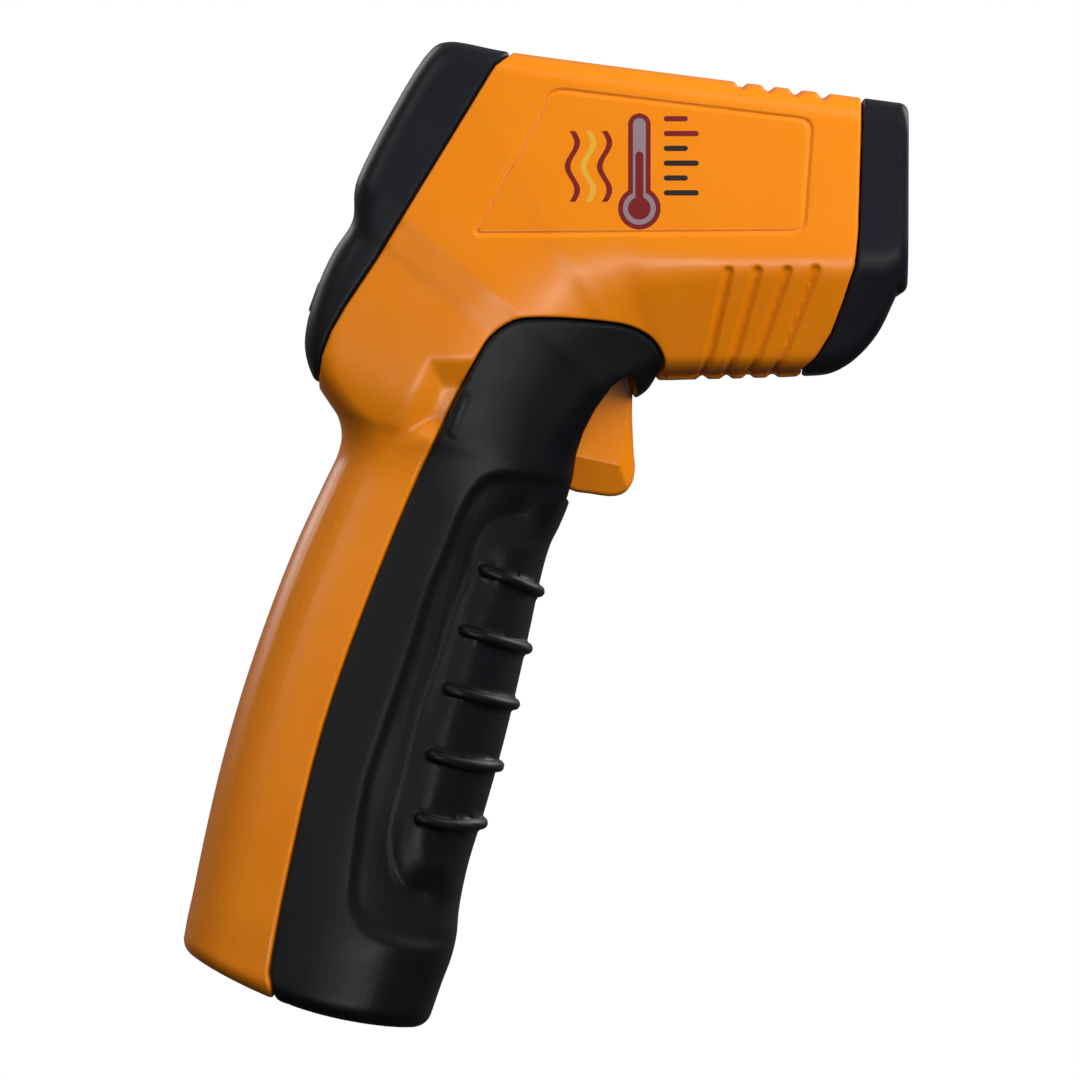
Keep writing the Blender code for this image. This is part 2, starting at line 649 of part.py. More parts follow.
KNUCKLE = [
    *(
        (DOOR_PIVOT[0] + 2.2 * math.cos(math.radians(a)), DOOR_PIVOT[1] + 2.2 * math.sin(math.radians(a)))
        for a in range(-60, 121, 30)
    ),
    (-24.0, -40.4),
    (-26.0, -43.2),
    (-19.6, -46.6),
]
DOOR_PIN_HOLE = rod("door_pin_hole", (DOOR_PIVOT[0], -20, DOOR_PIVOT[1]), (DOOR_PIVOT[0], 20, DOOR_PIVOT[1]),
                    DOOR_PIN_R + GAP, segments=16)  # fmt: skip
shell("left_shell", 1)
shell("right_shell", -1)


def rear_bezel():
    """The black display frame, with an opening for the window and one for each button."""
    obj = moulding("rear_bezel", BLACK)
    boolean(obj, TRIMMED["rear"], "INTERSECT")
    boolean(obj, CAVITY)
    height, width = DISPLAY_SIZE
    low, high = (-height / 2, -width / 2, -4), (height / 2, width / 2, 5)
    boolean(obj, block("window_opening", low, high, place=DISPLAY))
    up, across = (size / 2 + GAP for size in BUTTON_SIZE)
    for k in (-1, 0, 1):
        middle = k * BUTTON_PITCH
        low, high = (-up, middle - across, -4), (up, middle + across, 5)
        boolean(obj, block(f"button_opening_{k}", low, high, place=KEYPAD))


def front_bezel():
    """The black muzzle frame, bored for the sensor's cup and the laser's aperture."""
    obj = moulding("front_bezel", BLACK)
    boolean(obj, TRIMMED["front"], "INTERSECT")
    boolean(obj, CAVITY)
    boolean(obj, rod("cup_bore", (60, 0, SENSOR_Z), (90, 0, SENSOR_Z), SENSOR_R + GAP, segments=48))
    boolean(obj, rod("laser_bore", (70, 0, LASER_Z), (90, 0, LASER_Z), 1.5, segments=16))


def battery_door():
    """The black flip-down front of the grip, ribbed for the fingers and hinged at its heel."""
    obj = moulding("battery_door", RUBBER)
    boolean(obj, TRIMMED["door"], "INTERSECT")
    boolean(obj, CAVITY)
    boolean(obj, outline_solid("finger_notch", NOTCH, -30, 30))
    boolean(obj, outline_solid("trigger_slot", SLOT, -SLOT_HALF, SLOT_HALF))
    x, z = DOOR_PIVOT
    boolean(obj, rod("door_barrel", (x, -11.6, z), (x, 11.6, z), DOOR_CORNER_R - 0.15, segments=24), "UNION")
    for low in (-5.3, 2.7):
        start, end = (x, low, z), (x, low + 2.6, z)
        boolean(obj, rod(f"knuckle_room_{low}", start, end, DOOR_CORNER_R + 1.1, segments=24))
        boolean(obj, block(f"knuckle_way_{low}", (x - 6, low, z - 1), (x, low + 2.6, z + 4)))
    boolean(obj, rod("door_bore", (x, -10.6, z), (x, 10.6, z), DOOR_PIN_R + GAP, segments=16))
    for k, height in enumerate(RIB_HEIGHTS):
        boolean(obj, finger_rib(k, height), "UNION")
    move_origin(obj, DOOR_PIVOT)


def finger_rib(number, height):
    """A ridge that follows the grip's section round its front, from one side to the other."""
    dense = np.linspace(0, 9, 901)
    front = body_rows(dense)[0]
    station = dense[np.abs(front[:, 1] - height).argmin()]
    ring = rings_of_body(np.array([station]), (1, 6, 1, 6, 1, 1, 1), round_ends=False)[0]
    reached = ring[np.linalg.norm(ring[:, ::2] - ring[0, ::2], axis=1) < RIB_REACH][1:]
    points = [(x, -y, z) for x, y, z in reversed(reached)] + [tuple(p) for p in reached]
    return tube_mesh(f"finger_rib_{number}", points, RIB_RADIUS)


def tube_mesh(name, points, radius):
    """A round bar through the points, as a cutter-side mesh with its ends welded shut."""
    guide = wire(f"{name}_curve", points, radius, None)
    graph = bpy.context.evaluated_depsgraph_get()
    mesh = bpy.data.meshes.new_from_object(guide.evaluated_get(graph))
    bpy.data.objects.remove(guide, do_unlink=True)
    bm = bmesh.new()
    bm.from_mesh(mesh)
    bpy.data.meshes.remove(mesh)
    bmesh.ops.remove_doubles(bm, verts=bm.verts, dist=1e-6)
    return add_object(name, mesh_from(bm, name))


def display():
    """Window, liquid-crystal panel, backlight, and the board behind them with the keypad's pad on it."""
    height, width = DISPLAY_SIZE
    up, across = height / 2 - GAP, width / 2 - GAP
    window = block("lcd_window", (-up, -across, 0.15), (up, across, 1.5), CLEAR, DISPLAY)
    bevel(window, 0.25, 1)
    block("lcd_panel", (-up + 0.6, -across + 0.8, 2.6), (up - 0.6, across - 0.8, 4.2), GLASS, DISPLAY)
    block("lcd_backlight", (-up + 0.6, -across + 0.8, 4.6), (up - 0.6, across - 0.8, 7.2), WHITE, DISPLAY)
    low, high = (-9.0, -13.7, BOARD_DEPTH), (35.0, 13.7, BOARD_DEPTH + 1.2)
    block("main_board", low, high, BOARD, DISPLAY)
    low, high = (25.0, -13.2, BOARD_DEPTH - 1.3), (33.6, 13.2, BOARD_DEPTH - GAP)
    block("keypad_pad", low, high, RUBBER, DISPLAY)


def push_button(name, k):
    """A key cap standing a little proud of the bulge, over the pad."""
    up, across = (size / 2 for size in BUTTON_SIZE)
    middle = k * BUTTON_PITCH
    obj = block(name, (-up, middle - across, -KEY_PROUD), (up, middle + across, 2.6), RUBBER, KEYPAD)
    bevel(obj, 0.5)
    pivot = KEYPAD @ Vector((0, middle * MM, 0))
    obj.data.transform(Matrix.Translation(-pivot))
    obj.location = pivot


def optics():
    """Sensor cup with its lens, ring, sensor and board, and the aiming laser above it."""
    cup = [
        (FRONT_X - 0.3, 7.9), (62.0, 5.0), (61.7, 5.0), (61.7, 6.5), (48.0, 6.5), (48.0, SENSOR_R),
        (FRONT_X - 0.3, SENSOR_R),
    ]  # fmt: skip
    turned("sensor_cup", cup, SENSOR_Z, BLACK, 40)
    lens = [(60.1, 0), (60.1, 6.2), (61.4, 6.2), (61.5, 4.6), (61.9, 2.4), (62.1, 0)]
    turned("infrared_lens", lens, SENSOR_Z, LENS, 24)
    turned("lens_ring", [(58.3, 5.2), (58.3, 6.2), (59.8, 6.2), (59.8, 5.2)], SENSOR_Z, BLACK, 24)
    flange = [(49.0, 0), (49.0, 4.7), (49.7, 4.7), (49.7, 4.1)]
    sensor = [*flange, (53.6, 4.1), (53.6, 1.9), (53.2, 1.9), (53.2, 0)]
    turned("infrared_sensor", sensor, SENSOR_Z, STEEL, 24)
    block("sensor_board", (46.3, -9.0, SENSOR_Z - 9.0), (47.5, 9.0, SENSOR_Z + 9.0), BOARD)
    laser = [(60.0, 0), (60.0, LASER_R), (75.4, LASER_R), (75.4, 1.2), (74.6, 1.2), (74.6, 0)]
    turned("laser_module", laser, LASER_Z, BRASS, 16)
    turned("laser_lens", [(77.0, 0), (77.0, 1.15), (77.8, 1.15), (77.95, 0.6), (78.0, 0)], LASER_Z, CLEAR, 16)


def trigger():
    """The finger piece: a loft through rounded levels, with a bored knuckle at the top."""
    bm = bmesh.new()
    rings = []
    for z, back, front, half, rounding in TRIGGER_LEVELS:
        ring = [(back, -half), (back, half)]
        for side in (1, -1):
            turns = range(0, 91, 30) if side > 0 else range(90, -1, -30)
            for angle in turns:
                turn = math.radians(angle)
                x = front - rounding + rounding * math.sin(turn)
                ring.append((x, side * (half - rounding + rounding * math.cos(turn))))
        rings.append([bm.verts.new(Vector((x, y, z)) * MM) for x, y in ring])
    count = len(rings[0])
    for low, high in zip(rings, rings[1:]):
        for k in range(count):
            bm.faces.new((low[k], low[(k + 1) % count], high[(k + 1) % count], high[k]))
    bm.faces.new(rings[0])
    bm.faces.new(rings[-1])
    obj = add_object("trigger", mesh_from(bm, "trigger"), ORANGE)
    x, z = TRIGGER_PIVOT
    boolean(obj, rod("trigger_bore", (x, -8, z), (x, 8, z), PIN_R + GAP, segments=16))
    move_origin(obj, TRIGGER_PIVOT)


def trigger_works():
    """Pivot pin, the bracket that holds it, the switch with its plunger, and the return spring."""
    x, z = TRIGGER_PIVOT
    rod("trigger_pin", (x, -8.6, z), (x, 8.6, z), PIN_R, STEEL, segments=16)
    cheek = [(10.5, 33.6), (13.0, 33.6), (16.0, 49.4), (30.0, 52.2), (33.9, 52.6), (33.9, 57.2), (10.5, 57.2)]
    bracket = outline_solid("trigger_bracket", cheek, -8.2, 8.2, BLACK)
    room = [(12.5, 30.0), (12.5, 54.5), (20.0, 60.0), (40.0, 60.0), (40.0, 30.0)]
    boolean(bracket, outline_solid("bracket_room", room, -6.4, 6.4))
    boolean(bracket, rod("bracket_bore", (x, -12, z), (x, 12, z), PIN_R + GAP, segments=16))
    switch = block("trigger_switch", (12.9, -3.2, PLUNGER_Z - 3.2), (19.0, 3.2, PLUNGER_Z + 3.2), BLACK)
    bore = rod("switch_bore", (15.4, 0, PLUNGER_Z), (24.0, 0, PLUNGER_Z), 1.6, segments=16)
    boolean(switch, bore)
    plunger = rod("switch_plunger", (17.4, 0, PLUNGER_Z), (24.2, 0, PLUNGER_Z), 1.2, WHITE, segments=16)
    move_origin(plunger, (24.2, PLUNGER_Z))
    turns, steps = 5, 12
    coil = []
    for k in range(turns * steps + 1):
        turn = 2 * math.pi * k / steps
        along = 13.2 + (23.8 - 13.2) * k / (turns * steps)
        coil.append((along, 2.0 * math.cos(turn), SPRING_Z + 2.0 * math.sin(turn)))
    wire("trigger_spring", coil, 0.35, STEEL)


def battery_bay():
    """The cradle behind the cells, both cells, and the contacts at its ends."""
    tray = block("battery_cradle", (-7.6, -11.35, -27.6), (0.4, 11.35, 27.4), BLACK, CELLS)
    boolean(tray, block("cradle_room", (-6.2, -10.8, -26.2), (5.0, 10.8, 26.0), place=CELLS))
    for k, (name, side, up) in enumerate((("battery_1", -1, 1), ("battery_2", 1, -1))):
        half = CELL_LENGTH / 2
        base, shoulder, tip = -half * up, (half - 1.0) * up, half * up
        start, end = (0, side * CELL_Y, base), (0, side * CELL_Y, shoulder)
        cell = rod(name, start, end, CELL_R, CELL_WRAP, CELLS, 24)
        start, end = (0, side * CELL_Y, shoulder - up), (0, side * CELL_Y, tip)
        nub = rod(f"{name}_nub", start, end, 1.9, None, CELLS, 16)
        boolean(cell, nub, "UNION")
        cone_start = (half + GAP + 0.05) * -up
        coil = []
        turns, steps = 3, 10
        for i in range(turns * steps + 1):
            turn = 2 * math.pi * i / steps
            radius = 1.6 + 1.8 * i / (turns * steps)
            along = cone_start + (25.0 - half - GAP - 0.3) * -up * i / (turns * steps)
            coil.append((radius * math.cos(turn), side * CELL_Y + radius * math.sin(turn), along - 0.25 * up))
        wire(f"contact_spring_{k + 1}", coil, 0.25, STEEL, CELLS)
    block("contact_link", (-4.2, -9.6, -25.9), (4.2, 9.6, -25.5), STEEL, CELLS)
    block("contact_plus", (-3.8, -9.6, 25.3), (3.8, -1.4, 25.7), STEEL, CELLS)
    block("contact_minus", (-3.8, 1.4, 25.3), (3.8, 9.6, 25.7), STEEL, CELLS)


def fasteners():
    """Three shell screws, the door's hinge pin, and the two leads from the cells to the board."""
    for name, (x, z, skin) in SCREWS.items():
        shaft = rod(name, (x, -9.0, z), (x, skin - 4.0, z), 1.2, STEEL, segments=12)
        head = rod(f"{name}_head", (x, skin - 4.2, z), (x, skin - 2.4, z), 2.1, segments=16)
        boolean(shaft, head, "UNION")
        boolean(shaft, block(f"{name}_slot_a", (x - 1.3, skin - 3.1, z - 0.25), (x + 1.3, skin, z + 0.25)))
        boolean(shaft, block(f"{name}_slot_b", (x - 0.25, skin - 3.1, z - 1.3), (x + 0.25, skin, z + 1.3)))
    x, z = DOOR_PIVOT
    rod("door_hinge_pin", (x, -10.2, z), (x, 10.2, z), DOOR_PIN_R, STEEL, segments=16)
    for name, side, mat in (("lead_red", -1, RED), ("lead_black", 1, RUBBER)):
        route = [
            (6.4, side * 6.0, 18.2), (5.6, side * 9.6, 24.0), (5.0, side * 10.4, 32.0),
            (5.2, side * 10.6, 44.0), (4.6, side * 10.0, 56.0), (3.0, side * 8.0, 64.0),
        ]  # fmt: skip
        points, _ = smooth_line(route, 3)
        wire(name, points, 0.55, mat)


rear_bezel()
front_bezel()
battery_door()
display()
for button_number, button_name in enumerate(("button_left", "button_centre", "button_right")):
    push_button(button_name, button_number - 1)
optics()
trigger()
trigger_works()
battery_bay()
fasteners()
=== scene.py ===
"""Looks of the infrared thermometer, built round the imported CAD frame.

Shapes are worked out in millimetres and scaled to metres when their meshes are made. The body's outer
skin is one dense lofted surface: it is cut along the seams, each piece gets its own relief, and then it
is given an inner skin and a rim. A skin is a tuple (outer points, inner points, triangles), and a measure
is a function that gives a number for each of an array of points.
"""

import math

import bmesh
import bpy
import numpy as np
from mathutils import Matrix, Vector
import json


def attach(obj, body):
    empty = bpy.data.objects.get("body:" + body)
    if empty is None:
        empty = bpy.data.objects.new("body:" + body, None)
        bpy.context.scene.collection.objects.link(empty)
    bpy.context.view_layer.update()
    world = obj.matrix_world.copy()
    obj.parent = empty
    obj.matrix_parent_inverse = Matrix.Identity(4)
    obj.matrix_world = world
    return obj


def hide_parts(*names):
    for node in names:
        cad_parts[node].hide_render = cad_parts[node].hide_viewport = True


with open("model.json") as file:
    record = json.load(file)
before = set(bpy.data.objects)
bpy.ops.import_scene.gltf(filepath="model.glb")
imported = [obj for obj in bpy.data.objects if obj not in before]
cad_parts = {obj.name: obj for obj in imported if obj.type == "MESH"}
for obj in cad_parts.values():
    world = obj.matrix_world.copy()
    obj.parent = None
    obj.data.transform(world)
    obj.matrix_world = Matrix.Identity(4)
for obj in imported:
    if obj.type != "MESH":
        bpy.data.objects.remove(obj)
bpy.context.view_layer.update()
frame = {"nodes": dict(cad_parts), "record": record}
SCENE = bpy.context.scene
MM = 0.001
GAP = 0.3
FAR = 99.0
FINE_STEP = 0.7
STEP = FINE_STEP
SECTION_POINTS = 170
SNAP = 0.03

# ---------- the body's form, as in the CAD

HEAD_HALF = 21.5
WALL = 2.0
FRONT_X = 79.3
BOTTOM_ROUND = 3.0
FRONT_ROUND = 1.6
BOTTOM_BOW = 2.2
END_SHARE = 0.9
SIDE_SHARE = 0.46
SENSOR_Z = 76.4
SENSOR_R = 8.5
LASER_Z = 88.0
DISPLAY_AT = (-0.6, 91.65)
DISPLAY_IN = (0.8669, -0.4985)
DISPLAY_SIZE = (18.0, 33.0)
KEYPAD_AT = (-13.15, 63.1)
KEYPAD_IN = (0.942, -0.3357)
BUTTON_SIZE = (5.2, 7.2)
BUTTON_PITCH = 9.0
KEY_PROUD = 0.25
DOOR_PIVOT = (-17.3, -45.2)
DOOR_CORNER_R = 2.6

FRONT_LINE = [
    (4.9, -49.2), (6.6, -44.3), (8.0, -40.6), (8.9, -37.0), (9.3, -33.0), (10.6, -26.2), (12.9, -18.6),
    (14.6, -12.8), (16.7, -5.0), (18.6, 3.0), (20.5, 11.6), (22.4, 20.4), (23.7, 24.6), (25.3, 27.6),
    (26.7, 30.4), (27.7, 33.6), (28.9, 37.4), (30.6, 41.2), (33.0, 44.8), (35.0, 46.5), (36.8, 47.3),
    (38.6, 48.5), (40.2, 50.1), (43.0, 50.3), (54.0, 50.6), (62.8, 50.9), (67.8, 51.4), (71.0, 53.2),
    (74.6, 57.2), (77.6, 63.4),
]
BACK_LINE = [
    (-33.75, -36.5), (-33.3, -34.0), (-32.65, -31.1), (-30.3, -19.8), (-27.6, -8.5), (-24.3, 2.8),
    (-20.4, 14.1), (-15.9, 25.4), (-11.5, 34.8), (-9.7, 38.6), (-9.1, 41.4), (-9.6, 44.3), (-10.9, 46.4),
    (-12.9, 49.5), (-14.2, 52.4), (-14.75, 55.6), (-14.3, 59.3), (-13.2, 63.1), (-11.8, 66.9),
    (-9.9, 70.6), (-7.7, 73.8), (-7.05, 75.5), (-6.9, 79.4), (-6.2, 81.9), (5.0, 101.4), (7.4, 102.6),
    (17.4, 101.0), (72.1, 93.9), (77.7, 93.15),
]
# Each station: numbers of its points on the front and back lines, half-width at the front line, the side
# break's distance from that line, half-widths at the break and back line, and three corner roundings. The
# rows where the head runs into the grip are up to 0.7 mm slimmer than the CAD's, for an even flow.
STATIONS = [
    (0.0, 0.0, 8.5, 12.0, 16.4, 10.0, 8.0, 9.0, 8.0),
    (2.0, 2.0, 9.0, 13.0, 17.0, 10.8, 9.0, 11.0, 9.0),
    (6.0, 4.0, 9.5, 14.0, 17.3, 11.2, 9.5, 12.0, 9.5),
    (8.0, 5.0, 9.5, 14.0, 17.3, 11.2, 9.5, 12.0, 9.5),
    (9.4, 6.0, 9.5, 13.5, 17.2, 11.2, 9.5, 12.0, 9.5),
    (10.8, 7.0, 9.5, 13.5, 17.0, 11.2, 9.5, 12.0, 9.5),
    (12.3, 8.0, 9.7, 13.5, 17.0, 11.6, 9.5, 12.0, 9.0),
    (14.0, 10.0, 10.0, 14.0, 17.5, 12.6, 9.0, 11.0, 8.0),
    (15.0, 12.0, 10.3, 15.0, 18.0, 14.4, 8.5, 10.0, 6.5),
    (16.2, 15.0, 10.8, 17.0, 18.9, 16.5, 8.0, 8.5, 5.5),
    (17.1, 18.0, 11.2, 18.5, 19.8, 18.3, 7.0, 9.0, 5.0),
    (18.0, 21.0, 11.6, 19.5, 20.55, 19.9, 6.5, 9.5, 4.5),
    (19.0, 23.0, 12.0, 20.0, 21.1, 20.9, 6.0, 9.5, 4.5),
    (20.0, 24.2, 12.0, 20.2, 21.38, 21.35, 5.5, 9.0, 4.5),
    (21.0, 25.2, 12.0, 19.5, HEAD_HALF, HEAD_HALF, 5.0, 8.0, 4.5),
    (22.0, 26.1, 12.2, 18.2, HEAD_HALF, HEAD_HALF, 4.5, 6.0, 4.5),
    (23.0, 26.3, 12.4, 17.6, HEAD_HALF, HEAD_HALF, 4.0, 4.0, 4.5),
    (24.0, 26.65, 12.5, 17.2, HEAD_HALF, HEAD_HALF, 4.0, 2.5, 4.5),
    (25.0, 26.85, 12.5, 17.0, HEAD_HALF, HEAD_HALF, 4.0, 2.5, 4.5),
    (27.0, 27.0, 13.4, 14.8, HEAD_HALF, HEAD_HALF, 4.0, 2.5, 4.5),
    (29.0, 28.0, 18.0, 5.6, HEAD_HALF, HEAD_HALF, 3.0, 2.5, 4.5),
]
REAR_SEAM = [
    (19.2, 104.0), (17.4, 101.0), (14.9, 98.9), (-3.5, 68.8), (-8.6, 61.2), (-10.8, 57.5),
    (-12.3, 53.8), (-12.9, 49.8), (-13.0, 46.0),
]
FRONT_SEAM = [
    (72.2, 97.0), (72.1, 93.9), (71.5, 73.0), (71.0, 67.5), (69.2, 61.9), (67.4, 57.1), (65.2, 53.5),
    (63.0, 50.9), (61.0, 48.5),
]
DOOR_SEAM = [
    (-20.4, -42.4), (-18.7, -33.0), (-17.1, -25.4), (-13.7, -10.4), (-10.4, 0.9), (-6.4, 12.2),
    (-2.0, 23.5), (2.8, 34.9), (6.5, 42.4), (10.4, 49.9), (12.2, 53.4), (14.4, 56.7), (17.9, 59.0),
    (22.0, 59.5), (31.4, 58.9), (36.1, 58.1), (39.4, 56.2), (41.1, 53.4), (41.1, 51.8), (40.0, 49.6),
    (39.0, 47.0),
]
NOTCH = [(26.6, 31.4), (27.4, 34.6), (27.9, 38.3), (29.0, 41.8), (30.9, 45.5), (33.3, 48.8), (35.0, 50.2),
         (36.95, 50.6), (36.95, 43.0), (40.0, 31.4)]
SLOT_HALF = 6.1
SLOT_FOOT = 31.4

# ---------- relief, as (x, z) on the side view

PANEL = [(23.7, 95.5), (64.5, 90.6), (63.2, 72.6), (10.9, 72.2)]
PANEL_CORNER = 2.2
GROOVES = [((51.2, 66.7), (47.2, 49.0)), ((55.7, 66.8), (50.9, 49.0)), ((60.3, 66.8), (54.2, 49.0)),
           ((64.7, 67.0), (57.9, 49.0))]
TOP_NOTCHES = [53.2, 57.45, 61.7, 66.0]
THUMB = [(4.7, 53.1), (14.3, 53.1), (6.8, 40.2), (-0.8, 40.6)]
POCKET = [
    (36.0, 36.0), (29.5, 36.4), (24.6, 34.6), (20.3, 35.2), (16.2, 35.3), (13.2, 34.4), (10.5, 31.4),
    (7.5, 24.3), (4.7, 17.7), (1.6, 7.8), (-2.4, -3.9), (-5.2, -12.6), (-7.1, -25.1), (-7.5, -31.4),
    (-5.2, -35.3), (-1.3, -37.2), (6.0, -38.4), (20.0, -38.0),
]
PAD = [
    (36.0, 26.5), (24.0, 27.4), (17.3, 27.8), (13.7, 25.6), (12.1, 20.4), (8.9, 13.0), (6.8, 6.3),
    (3.9, -1.6), (1.6, -11.8), (-0.8, -22.0), (1.4, -28.5), (9.0, -31.0), (20.0, -31.0),
]
RIBS = [((13.9, 20.3), (17.2, 19.0), (22.6, 16.7)), ((10.7, 11.0), (14.6, 9.6), (20.6, 7.9)),
        ((8.0, 1.9), (12.2, 0.6), (18.7, -0.8)), ((5.4, -8.4), (9.6, -9.7), (16.4, -10.4)),
        ((3.5, -18.3), (7.4, -19.3), (13.9, -19.2))]
SCREW_RECESSES = [(25.0, 90.5, 21.5), (46.0, 60.0, 17.4), (-19.4, -18.0, 13.6)]
TRIGGER_OUTLINE = [
    (36.6, 50.4), (36.4, 45.5), (36.5, 42.0), (36.7, 38.5), (36.86, 36.7), (36.5, 34.3), (35.3, 32.6),
    (33.5, 32.0), (29.8, 32.4), (27.0, 32.9), (25.3, 34.3), (24.95, 37.0), (24.95, 42.0), (26.0, 48.0),
    (27.0, 50.3), (28.2, 54.6), (29.2, 57.2), (33.6, 57.2), (34.9, 54.6), (36.0, 52.6),
]
TRIGGER_HALF = 5.4
TRIGGER_CROWN = 0.7
# an (x, z) place on each crease of the trigger's sides, its lean, and how steeply the side falls past it
FRONT_CREASE = (36.5, 50.0, 0.155, 0.75)
FOOT_CREASE = (28.0, 38.2, 0.22, 0.42)
TAB = [(10.4, 47.3), (8.4, 41.8)]

# ---------- sizes of the relief

SEAM_ROUND = 0.5
KEY_HOLE_ROUND = 0.45
LASER_HOLE_ROUND = 0.4
SLOT_ROUND = 0.7
MIDDLE_ROUND = 0.15
# half-width and depth of the grooves, and of the tab mark, which is raised
PANEL_GROOVE = (0.55, 0.34)
SLANTING_GROOVE = (1.1, 0.62)
TOP_NOTCH = (1.25, 0.85)
TAB_MARK = (1.0, 0.22)
PANEL_GROOVE_IN = 0.35
PANEL_SUNK = 0.12
TOP_NOTCH_REACH = 19.6
RIB_RADIUS = 0.98
RIB_HEIGHT = 1.12
# each facet of the finger recess: the corners it starts and ends at, and its width
THUMB_FACETS = ((0, 1, 4.2), (3, 0, 3.6), (2, 3, 3.0))
THUMB_DEPTH = 1.7
HOLLOW_DEPTH = 2.3
PAD_STEP = 1.0
PAD_SWELL = 1.3
SCOOP_DEPTH = 0.35
SCREW_R = 2.4
SCREW_DEPTH = 2.75
SCREW_FLOOR = 1.2
GROOVES_BELOW = 70.0
TOP_NOTCHES_ABOVE = 88.0
# distances at which a skin is cut, so that its relief has edges to follow
LIP_LEVELS = (0.06, 0.18, 0.34, 0.52)
PANEL_LEVELS = (-0.25, -0.05, 0.15, 0.35, 0.55, 0.75, 0.95)
GROOVE_LEVELS = (0.25, 0.5, 0.75, 1.0, 1.2)
TOP_NOTCH_LEVELS = (0.3, 0.6, 0.9, 1.25)
SCREW_LEVELS = (2.3, 2.5, 2.8)
SLOT_LEVELS = (0.08, 0.2, 0.4, 0.65)
RIB_LEVELS = (0.25, 0.5, 0.72, 0.88, 0.96)
TRIGGER_LEVELS = (0.05, 0.15, 0.3, 0.45, 0.6)


# ---------- the body's surface


def smooth_line(points, per_span=8):
    """A centripetal Catmull-Rom curve through the points, with the index of each sample in the points."""
    points = np.array(points, float)
    ends = np.vstack([2 * points[0] - points[1], points, 2 * points[-1] - points[-2]])
    found, index = [], []
    for i in range(len(points) - 1):
        row = ends[i : i + 4]
        knots = np.concatenate([[0], np.cumsum(np.linalg.norm(np.diff(row, axis=0), axis=1) ** 0.5)])
        t = np.linspace(knots[1], knots[2], per_span, endpoint=False)[:, None]
        for reach in (1, 2):
            spans = enumerate(zip(knots, knots[reach:]))
            row = [(b - t) / (b - a) * row[k] + (t - a) / (b - a) * row[k + 1] for k, (a, b) in spans]
        share = (t - knots[1]) / (knots[2] - knots[1])
        found.append((1 - share) * row[0] + share * row[1])
        index.append(i + np.arange(per_span) / per_span)
    return np.vstack([*found, points[-1:]]), np.concatenate([*index, [len(points) - 1]])


def monotone(keys, values, at):
    """Monotone cubic interpolation of values given at the keys."""
    keys, values = np.array(keys, float), np.array(values, float)
    step, slope = np.diff(keys), np.diff(values) / np.diff(keys)
    tangent = np.zeros(len(keys))
    same_way = slope[:-1] * slope[1:] > 0
    weight_1, weight_2 = 2 * step[1:] + step[:-1], step[1:] + 2 * step[:-1]
    safe = np.where(same_way, slope[:-1] * slope[1:], 1)
    inner = (weight_1 + weight_2) * safe / (weight_1 * slope[1:] + weight_2 * slope[:-1] + 1e-12)
    tangent[1:-1] = np.where(same_way, inner, 0)
    tangent[0], tangent[-1] = slope[0], slope[-1]
    i = np.clip(np.searchsorted(keys, at, side="right") - 1, 0, len(step) - 1)
    u = (at - keys[i]) / step[i]
    return (
        (1 + 2 * u) * (1 - u) ** 2 * values[i]
        + u * (1 - u) ** 2 * step[i] * tangent[i]
        + u * u * (3 - 2 * u) * values[i + 1]
        + u * u * (u - 1) * step[i] * tangent[i + 1]
    )


def body_rows(at, inset=0.0):
    """Chords and half-section sizes of the body at station numbers, drawn in by a wall's thickness."""
    table = np.array(STATIONS)
    number = np.arange(len(table))
    rows = []
    for line, column in ((FRONT_LINE, 0), (BACK_LINE, 1)):
        curve, index = smooth_line(line)
        where = monotone(number, table[:, column], at)
        rows.append(np.stack([np.interp(where, index, curve[:, k]) for k in range(2)], -1))
    sizes = [monotone(number, table[:, k], at) for k in range(2, 9)]
    front, back = rows
    across = (back - front) / np.linalg.norm(back - front, axis=1, keepdims=True)
    front, back = front + across * inset, back - across * inset
    for k in (0, 2, 3):
        sizes[k] = sizes[k] - inset
    sizes[1] = np.maximum(sizes[1] - inset, 2.0)
    return front, back, sizes


def half_sections(length, sizes, counts):
    """Half sections as arrays (station, point) of distance from the front line and of y."""
    front_half, break_at, break_half, back_half, round_1, round_2, round_3 = sizes
    nought = np.zeros_like(length)
    along = (nought, nought, break_at, length, length)
    out = (nought, front_half, break_half, back_half, nought)
    corners = [np.stack(pair, -1) for pair in zip(along, out)]
    sides = [b - a for a, b in zip(corners, corners[1:])]
    lengths = [np.linalg.norm(side, axis=-1) for side in sides]
    points, start = [], corners[0]
    for i, rounding in enumerate((round_1, round_2, round_3)):
        before = np.minimum(rounding, lengths[i] * (END_SHARE if i == 0 else SIDE_SHARE)) / lengths[i]
        after = np.minimum(rounding, lengths[i + 1] * (END_SHARE if i == 2 else SIDE_SHARE)) / lengths[i + 1]
        bend_in = corners[i + 1] - sides[i] * before[:, None]
        bend_out = corners[i + 1] + sides[i + 1] * after[:, None]
        for k in range(counts[2 * i]):
            points.append(start + (bend_in - start) * (k / counts[2 * i]))
        for k in range(counts[2 * i + 1]):
            u = k / counts[2 * i + 1]
            points.append((1 - u) ** 2 * bend_in + 2 * u * (1 - u) * corners[i + 1] + u * u * bend_out)
        start = bend_out
    for k in range(counts[6] + 1):
        points.append(start + (corners[4] - start) * (k / counts[6]))
    points = np.stack(points, 1)
    travel = np.linalg.norm(np.diff(points, axis=1), axis=2).cumsum(1)
    even = np.linspace(0, 1, SECTION_POINTS)
    rows = []
    for row, so_far in zip(points, travel):
        reached = np.concatenate([[0], so_far]) / so_far[-1]
        rows.append(np.stack([np.interp(even, reached, row[:, k]) for k in range(2)], -1))
    return np.stack(rows)


